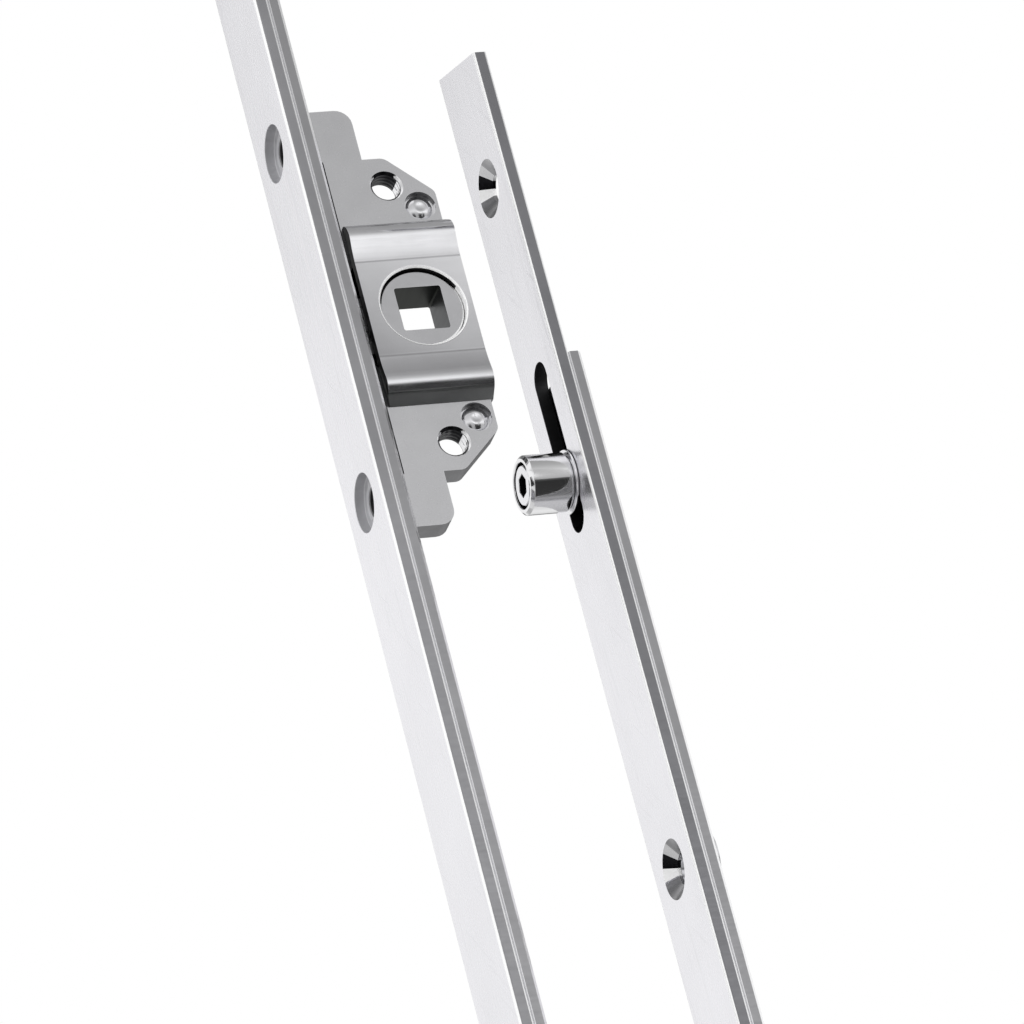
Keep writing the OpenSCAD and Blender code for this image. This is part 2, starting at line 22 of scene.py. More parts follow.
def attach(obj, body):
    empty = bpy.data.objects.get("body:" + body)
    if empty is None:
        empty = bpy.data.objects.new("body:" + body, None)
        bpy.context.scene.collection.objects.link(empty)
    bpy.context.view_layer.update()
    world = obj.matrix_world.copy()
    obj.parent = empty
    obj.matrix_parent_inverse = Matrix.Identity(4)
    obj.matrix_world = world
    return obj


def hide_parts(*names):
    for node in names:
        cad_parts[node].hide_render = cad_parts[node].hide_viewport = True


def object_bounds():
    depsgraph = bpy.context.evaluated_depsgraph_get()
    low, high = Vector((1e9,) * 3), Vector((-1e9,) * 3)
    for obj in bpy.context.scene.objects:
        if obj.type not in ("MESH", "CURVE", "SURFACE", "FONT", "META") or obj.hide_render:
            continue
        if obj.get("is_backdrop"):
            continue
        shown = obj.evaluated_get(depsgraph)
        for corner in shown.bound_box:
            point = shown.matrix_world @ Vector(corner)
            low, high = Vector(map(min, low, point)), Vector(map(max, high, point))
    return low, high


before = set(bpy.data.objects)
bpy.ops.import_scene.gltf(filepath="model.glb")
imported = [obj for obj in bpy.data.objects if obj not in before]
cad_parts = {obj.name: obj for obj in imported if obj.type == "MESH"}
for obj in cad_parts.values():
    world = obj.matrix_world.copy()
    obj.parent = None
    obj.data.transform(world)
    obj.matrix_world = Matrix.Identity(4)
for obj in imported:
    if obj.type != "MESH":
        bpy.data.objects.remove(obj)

LOG = logging.getLogger("espagnolette")
MM = 0.001
THICKNESS = 2.0  # of every strip, in millimetres
TOUCH = 0.02  # how far past a limit, in millimetres, a face still counts as inside it
EDGE_REACH = 0.25 * MM  # of the lighter worn edges
UNIT = (0.0, 1.0)
NOISE_SPAN = (0.3, 0.7)  # range that nearly all values of a noise lie in

Triple = tuple[float, float, float]
Pair = tuple[float, float]


class Facing(Enum):
    """The way the front of a blank faces once it is placed: its X, Y and Z axes in the frame."""

    FRONT = ((0, -1, 0), (0, 0, 1), (-1, 0, 0))
    NEAR = ((1, 0, 0), (0, 0, 1), (0, -1, 0))

    def matrix(self) -> Matrix:
        """Returns the turn from a blank's own axes to the frame's axes."""
        return Matrix(self.value).transposed().to_4x4()


class Body(Enum):
    """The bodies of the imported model."""

    FRAME = "frame"
    FOLLOWER = "follower"
    GEAR_ROD = "gear_rod"
    HEAD_ROD = "head_rod"
    ROLLER = "roller"


# Finishes


class Nodes:
    """Adds and links the nodes of one material."""

    def __init__(self, tree: bpy.types.NodeTree) -> None:
        """Keeps the tree and finds its shader."""
        self.tree = tree
        self.shader = next((n for n in tree.nodes if n.type == "BSDF_PRINCIPLED"), None)

    def feed(self, target: NodeSocket, value: NodeSocket | float | Sequence[float]) -> None:
        """Links an input to a socket or sets it to a value.

        Args:
            target: Input to feed.
            value: Socket, or value to set.
        """
        if isinstance(value, NodeSocket):
            self.tree.links.new(value, target)
        else:
            target.default_value = value

    def make(
        self,
        kind: str,
        output: str,
        inputs: Mapping[str | int, NodeSocket | float | Sequence[float]],
        **settings: str | int,
    ) -> NodeSocket:
        """Adds a node.

        Args:
            kind: Blender's name of its kind, without ShaderNode.
            output: Name of the output to return.
            inputs: Value of each input that is used.
            settings: Its other settings.

        Returns:
            The output.
        """
        node = self.tree.nodes.new(f"ShaderNode{kind}")
        for name, setting in settings.items():
            setattr(node, name, setting)
        for key, value in inputs.items():
            self.feed(node.inputs[key], value)
        return node.outputs[output]

    def place(self) -> NodeSocket:
        """Returns the object coordinates, which follow the piece when it moves."""
        return self.make("TexCoord", "Object", {})

    def parts(self, vector: NodeSocket) -> Mapping[str, NodeSocket]:
        """Returns the parts X, Y and Z of a vector."""
        return self.make("SeparateXYZ", "X", {"Vector": vector}).node.outputs

    def math(self, operation: str, first: NodeSocket, second: NodeSocket | float = 0.0) -> NodeSocket:
        """Returns the result of an operation on one or two values."""
        return self.make("Math", "Value", {0: first, 1: second}, operation=operation)

    def scaled(self, colour: NodeSocket | Triple, level: NodeSocket) -> NodeSocket:
        """Returns a colour scaled by a level."""
        return self.make("VectorMath", "Vector", {0: colour, "Scale": level}, operation="SCALE")

    def noise(
        self, vector: NodeSocket, scale: Triple, detail: float = 3.0, lean: float = 0.0
    ) -> NodeSocket:
        """Adds noise that may be stretched along an axis.

        Args:
            vector: Coordinates that the noise is read at.
            scale: Cycles per metre along each axis.
            detail: Octaves of the noise.
            lean: Turn about X before the scaling, in radians.

        Returns:
            The factor, about 0.5 in the mean.
        """
        if lean:
            turn = {"Vector": vector, "Angle": lean}
            vector = self.make("VectorRotate", "Vector", turn, rotation_type="X_AXIS")
        vector = self.make("Mapping", "Vector", {"Vector": vector, "Scale": scale})
        inputs = {"Vector": vector, "Scale": 1.0, "Detail": detail, "Roughness": 0.6}
        return self.make("TexNoise", "Fac", inputs)

    def remap(self, value: NodeSocket, source: Pair, target: Pair) -> NodeSocket:
        """Returns a value mapped from a source range to a target range."""
        ends = dict(zip(("From Min", "From Max", "To Min", "To Max"), (*source, *target)))
        return self.make("MapRange", "Result", {"Value": value} | ends)

    def edge_mask(self) -> NodeSocket:
        """Returns a mask that is 1 along edges and 0 on open faces."""
        rounded = self.make("Bevel", "Normal", {"Radius": EDGE_REACH}, samples=4)
        flat = self.make("NewGeometry", "Normal", {})
        likeness = self.make("VectorMath", "Value", {0: rounded, 1: flat}, operation="DOT_PRODUCT")
        return self.remap(likeness, (0.995, 0.9), UNIT)

    def bump(self, height: NodeSocket, distance: float) -> None:
        """Adds a bump to those that the shader already has.

        Args:
            height: Height of the surface, from 0 to 1.
            distance: Height of a full step, in metres.
        """
        inputs = {"Strength": 1.0, "Distance": distance, "Height": height}
        normal = self.shader.inputs["Normal"]
        if normal.links:
            inputs["Normal"] = normal.links[0].from_socket
        self.feed(normal, self.make("Bump", "Normal", inputs))


@dataclass(frozen=True)
class Grain:
    """Fine texture of a metal surface: cycles per metre along X, Y and Z, and its strength."""

    scale: Triple
    height: float = 0.0000008
    roughness_span: float = 0.06
    detail: float = 3.0


ROLLED = Grain((1500.0, 1500.0, 22.0), 0.00000025, 0.05)
SHEARED = Grain((260.0, 900.0, 1900.0), 0.0000016, 0.14)
CAST = Grain((2300.0, 2300.0, 2300.0), 0.00000006, 0.03, 2.0)
BRUSHED = Grain((130.0, 1900.0, 1900.0), 0.0000012, 0.1)
CUT = Grain((1900.0, 60.0, 1900.0))
FINE = Grain((2600.0, 2600.0, 2600.0), 0.0000004, 0.03)


@dataclass(frozen=True)
class Finish:
    """A metal finish with its own grain, slow clouds, scratches and lighter worn edges."""

    name: str
    colour: Triple
    roughness: float
    grain: Grain = FINE
    cloud: float = 0.06
    cloud_scale: float = 200.0
    edge_light: float = 0.1
    scratches: float = 0.0
    metal: float = 1.0

    def material(self) -> Material:
        """Returns the material, made once and then reused."""
        known = bpy.data.materials.get(self.name)
        if known:
            return known
        material = bpy.data.materials.new(self.name)
        material.use_nodes = True
        self.dress(Nodes(material.node_tree))
        return material

    def dress(self, nodes: Nodes) -> None:
        """Builds the node tree of the finish.

        Args:
            nodes: Helper for the tree of the new material.
        """
        place = nodes.place()
        clouds = nodes.noise(place, (self.cloud_scale,) * 3, 4.0)
        level = nodes.remap(clouds, NOISE_SPAN, (1 - self.cloud, 1 + self.cloud))
        worn = nodes.remap(nodes.edge_mask(), UNIT, (1.0, 1 + self.edge_light))
        level = nodes.math("MULTIPLY", level, worn)
        grain = nodes.noise(place, self.grain.scale, self.grain.detail)
        half = self.grain.roughness_span / 2
        rough = nodes.remap(grain, NOISE_SPAN, (self.roughness - half, self.roughness + half))
        if self.scratches:
            marks = self.marks(nodes, place)
            level = nodes.math("MULTIPLY", level, nodes.remap(marks, UNIT, (1.0, 0.9)))
            rough = nodes.math("ADD", rough, nodes.remap(marks, UNIT, (0.0, 0.12)))
        inputs = nodes.shader.inputs
        inputs["Metallic"].default_value = self.metal
        nodes.feed(inputs["Base Color"], nodes.scaled(self.colour, level))
        nodes.feed(inputs["Roughness"], rough)
        nodes.bump(grain, self.grain.height)

    def marks(self, nodes: Nodes, place: NodeSocket) -> NodeSocket:
        """Returns a mask of thin scratches in two directions.

        Args:
            nodes: Helper for the tree.
            place: Coordinates of the surface.
        """
        masks = []
        for lean, low in ((0.06, 0.665), (0.7, 0.69)):
            lines = nodes.noise(place, (90.0, 1900.0, 70.0), 1.0, lean)
            masks.append(nodes.remap(lines, (low, low + 0.03), (0.0, self.scratches)))
        return nodes.math("MAXIMUM", *masks)


@dataclass(frozen=True)
class TurnedFinish(Finish):
    """A finish with the fine rings that a lathe tool leaves round an axis along X."""

    centre: Triple = (0.0, 0.0, 0.0)
    rings: float = 5200.0
    ring_span: float = 0.05
    ring_height: float = 0.0000006

    def dress(self, nodes: Nodes) -> None:
        """Builds the node tree of the finish and adds the rings.

        Args:
            nodes: Helper for the tree of the new material.
        """
        super().dress(nodes)
        ends = {0: nodes.place(), 1: self.centre}
        parts = nodes.parts(nodes.make("VectorMath", "Vector", ends, operation="SUBTRACT"))
        squares = [nodes.math("POWER", parts[axis], 2.0) for axis in "YZ"]
        radius = nodes.math("SQRT", nodes.math("ADD", *squares))
        spot = nodes.make("CombineXYZ", "Vector", {"X": radius, "Y": parts["X"]})
        ring = nodes.noise(spot, (self.rings,) * 3, 2.0)
        rough = nodes.shader.inputs["Roughness"]
        extra = nodes.remap(ring, (0.35, 0.65), (0.0, self.ring_span))
        nodes.feed(rough, nodes.math("ADD", rough.links[0].from_socket, extra))
        nodes.bump(ring, self.ring_height)


@dataclass(frozen=True)
class ThreadedFinish(Finish):
    """A finish for tapped holes along Y: thread grooves of an even pitch."""

    pitch: float = 0.0008

    def dress(self, nodes: Nodes) -> None:
        """Builds the node tree of the finish and adds the grooves.

        Args:
            nodes: Helper for the tree of the new material.
        """
        super().dress(nodes)
        along = nodes.parts(nodes.place())["Y"]
        wave = nodes.math("SINE", nodes.math("MULTIPLY", along, math.tau / self.pitch))
        nodes.bump(nodes.remap(wave, (-1.0, 1.0), UNIT), self.pitch * 0.05)


@dataclass(frozen=True)
class CoverFinish(Finish):
    """The ground cover with painted shade: a fade from top to bottom, darker towards -X, a darker lower
    ramp, and a dark line with a small groove bump where each ramp begins.
    """

    flat_z: float = 0.0079
    line: float = 0.00024
    line_shade: float = 0.66
    # Painted shade on the flat: brighter at the top, darker at the bottom, and darker towards -X by
    # left over across
    painted_fade: float = 0.2
    left: float = 0.2
    across: Pair = (-0.0085, 0.004)
    lower_ramp_shade: float = 0.8
    ramp: Pair = (-0.0119, -0.0108)

    def dress(self, nodes: Nodes) -> None:
        """Builds the node tree of the finish and adds the painted fade, the painted shade and the
        lines.

        Args:
            nodes: Helper for the tree of the new material.
        """
        super().dress(nodes)
        parts = nodes.parts(nodes.place())
        height = parts["Z"]
        distance = nodes.math("ABSOLUTE", height)
        # Painted shade: brighter at the top of the flat, darker at its bottom and towards -X
        painted_fade = nodes.remap(height, (-self.flat_z, self.flat_z), (-self.painted_fade, self.painted_fade))
        painted_fade = nodes.math("ADD", painted_fade, nodes.remap(parts["X"], self.across, (-self.left, 0.0)))
        on_flat = nodes.math("LESS_THAN", distance, self.flat_z)
        level = nodes.math("ADD", nodes.math("MULTIPLY", painted_fade, on_flat), 1.0)
        # Painted shade: the lower ramp darker
        below = nodes.math("LESS_THAN", height, -self.flat_z)
        below = nodes.math("MULTIPLY", below, nodes.remap(height, self.ramp, UNIT))
        low = nodes.remap(below, UNIT, (1.0, self.lower_ramp_shade))
        level = nodes.math("MULTIPLY", level, low)
        # Painted shade: a dark line where each ramp begins, also bumped as a small groove
        away = nodes.math("ABSOLUTE", nodes.math("SUBTRACT", distance, self.flat_z))
        groove_shade = nodes.remap(away, (0.0, self.line), UNIT)
        level = nodes.math("MULTIPLY", level, nodes.remap(groove_shade, UNIT, (self.line_shade, 1.0)))
        colour = nodes.shader.inputs["Base Color"]
        nodes.feed(colour, nodes.scaled(colour.links[0].from_socket, level))
        nodes.bump(groove_shade, self.line * 0.05)


ZINC_FACE = Finish("zinc_face", (0.87, 0.865, 0.895), 0.27, ROLLED, 0.03, 40.0, scratches=0.35)
# Sheared strip edges, darker and rougher than the face, and partly painted shade
ZINC_EDGE = Finish("zinc_edge", (0.385, 0.385, 0.4), 0.36, SHEARED, 0.08, 90.0)
# Painted shade: a darker copy of the zinc edge, for the sides of the head strip
HEAD_EDGE_SHADE = Finish("head_edge_shade", (0.275, 0.275, 0.29), 0.36, SHEARED, 0.08, 90.0)
ZINC_BORE = Finish("zinc_bore", (0.82, 0.82, 0.84), 0.1, cloud=0.04)
BOSS_HOLE = Finish("boss_hole", (0.64, 0.64, 0.66), 0.42, metal=0.8)
# Painted shade: the upper wall of each boss hole, a duller copy of the boss hole finish
HOLE_TOP_SHADE = Finish("hole_top_shade", (0.62, 0.62, 0.635), 0.42)
# Countersink walls: painted reflection, in bands of black, white, grey and dim grey by angle round each
# hole
SINK_SHADE = Finish("sink_shade", (0.012, 0.012, 0.014), 0.3)
SINK_LIGHT = Finish("sink_light", (1.0, 1.0, 1.0), 0.5, cloud=0.02, metal=0.2)
SINK_DIM_REFLECTION = Finish("sink_dim_reflection", (0.36, 0.36, 0.37), 0.3, cloud=0.1)
SINK_GREY_REFLECTION = Finish("sink_grey_reflection", (0.64, 0.64, 0.65), 0.25)
# Painted shade: the slot's wall is near black, for the shade inside the slot
SLOT_WALL_SHADE = Finish("slot_wall_shade", (0.05, 0.05, 0.052), 0.5, SHEARED, 0.1)
# Painted shade: the rods' fronts, which lie against the faceplates, are near black
ROD_FRONT_SHADE = Finish("rod_front_shade", (0.06, 0.06, 0.062), 0.45, ROLLED, cloud_scale=60.0)
ROD_FACE = Finish("rod_face", (0.72, 0.72, 0.74), 0.32, ROLLED, 0.03, 50.0, scratches=0.7)
ROD_EDGE = Finish("rod_edge", (0.4, 0.4, 0.412), 0.36, SHEARED, 0.08, 80.0)
# Painted highlight: a near white line on the back edges of the strips and on the rods' front chamfers
EDGE_HIGHLIGHT = Finish("edge_highlight", (0.96, 0.96, 0.97), 0.22, cloud=0.03, cloud_scale=80.0)
# Painted highlight: a white glint on the front part of each faceplate's rounded front edge
PAINTED_GLINT = Finish("painted_glint", (1.0, 1.0, 1.0), 0.2, cloud=0.02, cloud_scale=80.0, metal=0.3)
DIE_CAST = Finish("die_cast", (0.65, 0.65, 0.665), 0.26, CAST, 0.04, 130.0)
COVER = CoverFinish("cover_ground_shade", (0.78, 0.78, 0.8), 0.2, BRUSHED, 0.05, 110.0)
# Painted shade: the cover's end walls above and below the crests are dark
COVER_END_SHADE = Finish("cover_end", (0.27, 0.275, 0.275), 0.38, CAST, 0.08)
# Painted shade: dark for the casing's sides, the downward walls of the rivet recesses and the boss
# bores
CAST_SIDE_SHADE = Finish("cast_side_shade", (0.2, 0.2, 0.205), 0.42, CAST, 0.1, 220.0)
# Painted shade: near black for the casing cavity, the walls facing the rod and the shaded wall round
# the spindle opening
CAST_GAP_SHADE = Finish("cast_gap_shade", (0.05, 0.05, 0.051), 0.5, cloud=0.05, cloud_scale=220.0)
# Lit and shaded copies of the thread: THREAD_SHADE paints shade on the downward walls of the handle
# holes, THREAD is the bright rest
THREAD = ThreadedFinish("m5_thread", (0.9, 0.9, 0.91), 0.2, cloud=0.05, cloud_scale=300.0)
THREAD_SHADE = ThreadedFinish("m5_thread_shade", (0.02, 0.02, 0.022), 0.3, FINE, 0.05, 300.0)
# Painted highlight: a mostly diffuse white on the lit side of the spindle opening and of the follower's
# chamfer
LIP_HIGHLIGHT = Finish("opening_lip_highlight", (1.0, 1.0, 1.0), 0.3, cloud=0.02, metal=0.2)
FORMED = Finish("formed_rivet", (0.82, 0.82, 0.84), 0.14, cloud=0.05, cloud_scale=500.0)
SINTERED = Finish("sintered", (0.6, 0.6, 0.615), 0.24, CAST, cloud_scale=180.0)
# Painted shade in the square bore: dark walls, and near black on the walls facing down
BROACHED_WALL_SHADE = Finish("broached", (0.085, 0.088, 0.09), 0.4, CUT, 0.1, 250.0)
BROACHED_SHADE = Finish("broached_shade", (0.02, 0.022, 0.019), 0.4, CUT, 0.1, 250.0)
TOOTH = Finish("oiled_tooth", (0.2, 0.2, 0.205), 0.3, SHEARED, cloud_scale=160.0)
TURNED = Finish("turned_zinc", (0.76, 0.76, 0.78), 0.28, cloud=0.04)
# Painted shade: near black for the hex socket and the roller's bore
SOCKET_SHADE = Finish("socket", (0.03, 0.03, 0.03), 0.5, cloud=0.1, cloud_scale=300.0)
ROLLER_CENTRE = (0.0, 0.0, -0.0287)
STUD = TurnedFinish(
    "turned_stud", (0.86, 0.86, 0.88), 0.16, FINE, 0.03, 60.0, centre=ROLLER_CENTRE
)
POLISHED = TurnedFinish(
    "polished_roller", (0.87, 0.87, 0.88), 0.07, FINE, 0.02, 150.0, 0.05, centre=ROLLER_CENTRE,
    rings=9000.0, ring_span=0.04,
)


# Mesh tools


@dataclass(frozen=True)
class Step:
    """One ring of a swept wall: its radius, its depth and the finish of the wall up to it."""

    radius: float
    depth: float
    finish: Finish | None = None


def steps(*rings: Pair, finish: Finish | None = None) -> tuple[Step, ...]:
    """Returns the steps of a profile of radii and depths in one finish."""
    return tuple(Step(radius, depth, finish) for radius, depth in rings)


def softened(sharp: Sequence[Step], size: float, count: int = 3) -> tuple[Step, ...]:
    """Returns a profile with its inner corners rounded.

    Args:
        sharp: Profile with sharp corners.
        size: Distance of a round's ends from its corner, at most 0.4 of the wall.
        count: Number of pieces that each round is made of.
    """
    made = [sharp[0]]
    for before, corner, after in zip(sharp, sharp[1:], sharp[2:]):
        point = Vector((corner.radius, corner.depth))
        walls = [Vector((step.radius, step.depth)) - point for step in (before, after)]
        start, end = (wall.normalized() * min(size, wall.length * 0.4) for wall in walls)
        for i in range(count + 1):
            t = i / count
            spot = point + start * (1 - t) ** 2 + end * t**2
            made.append(Step(spot.x, spot.y, corner.finish if i < count else after.finish))
    return (*made, sharp[-1])


@dataclass(frozen=True)
class Loop:
    """A closed loop on a blank, swept through its steps: a circle, a slot or a rounded box."""

    steps: tuple[Step, ...]
    y: float = 0.0
    half_width: float = 0.0
    half_height: float = 0.0
    segments: int = 64

    def centre(self, v: BMVert, middle: Vector) -> Vector:
        """Returns the centre that a vertex is scaled about, from the middle of the loop."""
        rows = zip(middle, (self.half_width, self.half_height), v.co - middle)
        return Vector((*(m + math.copysign(half, away) for m, half, away in rows), v.co.z))


@dataclass(frozen=True)
class Band:
    """Part of the walls round a point on a blank that takes another finish: a band of painted shade or
    painted reflection.

    Angles are in degrees from local -X towards local +Y.
    """

    y: float
    reach: float
    start: float
    end: float
    source: Finish
    finish: Finish


class Blank:
    """A solid that grows from loops drawn on its front, in millimetres.

    Loops lie in the local X-Y plane, the front faces local +Z and depth runs along local -Z.
    """

    def __init__(self, finishes: tuple[Finish, ...]) -> None:
        """Starts an empty mesh with its finishes, of which the first is the usual one."""
        self.mesh: BMesh = bmesh.new()
        self.finishes = finishes

    def paint(self, parts: Iterable[BMFace | BMEdge | BMVert], finish: Finish | None) -> None:
        """Gives a finish to the faces among some parts of the mesh.

        Args:
            parts: Faces, edges and vertices.
            finish: The finish, or None for the usual one.
        """
        index = self.finishes.index(finish or self.finishes[0])
        for face in (part for part in parts if isinstance(part, BMFace)):
            face.material_index = index

    def draw(self, loop: Loop) -> list[BMEdge]:
        """Draws a loop at the place of its first step.

        Args:
            loop: Loop to draw.

        Returns:
            The edges of the loop.
        """
        first = loop.steps[0]
        turn = Matrix.Rotation(math.pi / loop.segments, 4, "Z")
        verts = bmesh.ops.create_circle(
            self.mesh, cap_ends=False, radius=first.radius, segments=loop.segments, matrix=turn
        )["verts"]
        for v in verts:
            v.co = loop.centre(v, Vector()) + v.co
            v.co += Vector((0.0, loop.y, -first.depth))
        return self.edges_between(verts)

    def edges_between(self, verts: Iterable[BMVert]) -> list[BMEdge]:
        """Returns the edges that have both ends among some vertices, in an order by place.

        Args:
            verts: The vertices.
        """
        chosen = set(verts)
        found = {e for v in chosen for e in v.link_edges if all(w in chosen for w in e.verts)}
        return sorted(found, key=lambda e: tuple(round(c, 6) for v in e.verts for c in v.co))

    def fill(self, edges: list[BMEdge], finish: Finish | None) -> None:
        """Fills the area between the edges of an outer loop and of the loops inside it."""
        made = bmesh.ops.triangle_fill(self.mesh, use_beauty=True, use_dissolve=False, edges=edges)
        self.paint(made["geom"], finish)

    def close(self, edges: list[BMEdge], finish: Finish | None) -> None:
        """Closes a loop with one flat face."""
        self.paint(bmesh.ops.edgeloop_fill(self.mesh, edges=edges)["faces"], finish)

    def extrude(self, edges: list[BMEdge], finish: Finish | None) -> list[BMVert]:
        """Extrudes a loop of edges in place.

        Args:
            edges: Edges of the loop.
            finish: Finish of the new wall.

        Returns:
            The new vertices.
        """
        made = bmesh.ops.extrude_edge_only(self.mesh, edges=edges)["geom"]
        self.paint(made, finish)
        return [part for part in made if isinstance(part, BMVert)]

    def sweep(self, loop: Loop, edges: list[BMEdge]) -> list[BMEdge]:
        """Sweeps a loop through its steps to make a wall.

        Args:
            loop: Loop that the edges were drawn from.
            edges: The loop's edges.

        Returns:
            The edges of the last ring.
        """
        middle = Vector((0.0, loop.y, 0.0))
        for old, new in zip(loop.steps, loop.steps[1:]):
            verts = self.extrude(edges, new.finish)
            for v in verts:
                centre = loop.centre(v, middle)
                v.co = centre + (v.co - centre) * (new.radius / old.radius)
                v.co.z = -new.depth
            edges = self.edges_between(verts)
        return edges

    def shade(self, band: Band) -> None:
        """Gives a band its finish, which paints shade or a reflection onto the walls.

        Args:
            band: Band of the walls made so far.
        """
        source = self.finishes.index(band.source)
        for face in (f for f in self.mesh.faces if f.material_index == source):
            centre = face.calc_center_median()
            across, up = -centre.x, centre.y - band.y
            turn = math.degrees(math.atan2(up, across))
            if math.hypot(across, up) < band.reach and band.start < turn < band.end:
                self.paint((face,), band.finish)

    def place(self, facing: Facing, origin: Vector) -> None:
        """Turns the blank, moves its local origin to a place in millimetres and goes over to metres."""
        whole = Matrix.Scale(MM, 4) @ Matrix.Translation(origin) @ facing.matrix()
        bmesh.ops.transform(self.mesh, matrix=whole, verts=self.mesh.verts)


def linked(name: str, data: bpy.types.ID) -> Object:
    """Returns a new object that is in the scene.

    Args:
        name: Name of the object.
        data: Its mesh, lamp or camera.
    """
    made = bpy.data.objects.new(name, data)
    bpy.context.scene.collection.objects.link(made)
    return made


@dataclass(frozen=True)
class Piece:
    """How a finished mesh joins the model."""

    node: str
    body: Body
    slot: str
    finishes: tuple[Finish, ...]
    smooth_angle: float = 38.0
    weld: float = 0.002

    def finish(self, mesh: BMesh) -> None:
        """Makes the object from its mesh, dresses it and lets it ride on its body.

        Args:
            mesh: Finished geometry, in metres.
        """
        bmesh.ops.remove_doubles(mesh, verts=mesh.verts, dist=self.weld * MM)
        bmesh.ops.recalc_face_normals(mesh, faces=mesh.faces)
        data = bpy.data.meshes.new(f"{self.node}_dressed")
        mesh.to_mesh(data)
        mesh.free()
        data.polygons.foreach_set("use_smooth", [True] * len(data.polygons))
        data.set_sharp_from_angle(angle=math.radians(self.smooth_angle))
        for finish in self.finishes:
            data.materials.append(finish.material())
        made = linked(data.name, data)
        weighted = made.modifiers.new("even_faces", "WEIGHTED_NORMAL")
        weighted.keep_sharp = True
        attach(made, self.body.value)
        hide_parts(self.node)
        LOG.info("%s: %d faces", made.name, len(data.polygons))


@dataclass
class Turned:
    """A turned piece: an outer profile, a bore or a socket, and closed or open ends."""

    piece: Piece
    origin: Triple
    outer: tuple[Step, ...]
    inner: Loop | None = None
    through: bool = False
    facing: Facing = Facing.FRONT

    def build(self) -> None:
        """Builds and dresses the piece."""
        blank = Blank(self.piece.finishes)
        body = Loop(self.outer, segments=96)
        front = blank.draw(body)
        back = blank.sweep(body, front)
        last = self.outer[-1].finish
        if self.inner:
            edges = blank.draw(self.inner)
            end = blank.sweep(self.inner, edges)
            blank.fill(front + edges, None)
            if self.through:
                blank.fill(back + end, last)
            else:
                blank.close(end, self.inner.steps[-1].finish)
                blank.close(back, last)
        else:
            blank.close(front, None)
            blank.close(back, last)
        blank.place(self.facing, Vector(self.origin))
        self.piece.finish(blank.mesh)


@dataclass(frozen=True)
class Spot:
    """A size that holds where a test of a place is passed, both in millimetres."""

    size: float
    test: Callable[[Vector], bool]
    segments: int = 4


@dataclass
class Refined:
    """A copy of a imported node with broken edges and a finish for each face.

    The finish is chosen by a face's centre, in millimetres, and its normal. Rims are sharp edges
    with a wider round, of some segments, and shifts are vertices that move along X.
    """

    piece: Piece
    edge_break: float
    finish_at: Callable[[Vector, Vector], Finish]
    rims: tuple[Spot, ...] = ()
    shifts: tuple[Spot, ...] = ()
    sharp_angle: float = 30.0
    flat_angle: float = 0.5
    weld: float = 0.001

    def build(self) -> None:
        """Builds and dresses the copy."""
        mesh = bmesh.new()
        mesh.from_mesh(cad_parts[self.piece.node].data)
        bmesh.ops.remove_doubles(mesh, verts=mesh.verts, dist=self.weld * MM)
        flat = math.radians(self.flat_angle)
        bmesh.ops.dissolve_limit(mesh, angle_limit=flat, verts=mesh.verts, edges=mesh.edges)
        for face in mesh.faces:
            finish = self.finish_at(face.calc_center_median() / MM, face.normal)
            face.material_index = self.piece.finishes.index(finish)
        for shift in self.shifts:
            for v in (v for v in mesh.verts if shift.test(v.co / MM)):
                v.co.x += shift.size * MM
        sharp = math.radians(self.sharp_angle)
        for rim in (*self.rims, Spot(self.edge_break, lambda _: True, 2)):
            edges = [
                e for e in mesh.edges
                if e.is_manifold and e.is_convex and e.calc_face_angle() > sharp
                and rim.test((e.verts[0].co + e.verts[1].co) / 2 / MM)
            ]
            bmesh.ops.bevel(
                mesh, geom=edges, offset=rim.size * MM, offset_type="OFFSET",
                segments=rim.segments, profile=0.5, affect="EDGES", clamp_overlap=True, material=-1,
            )
        self.piece.finish(mesh)


# Strips


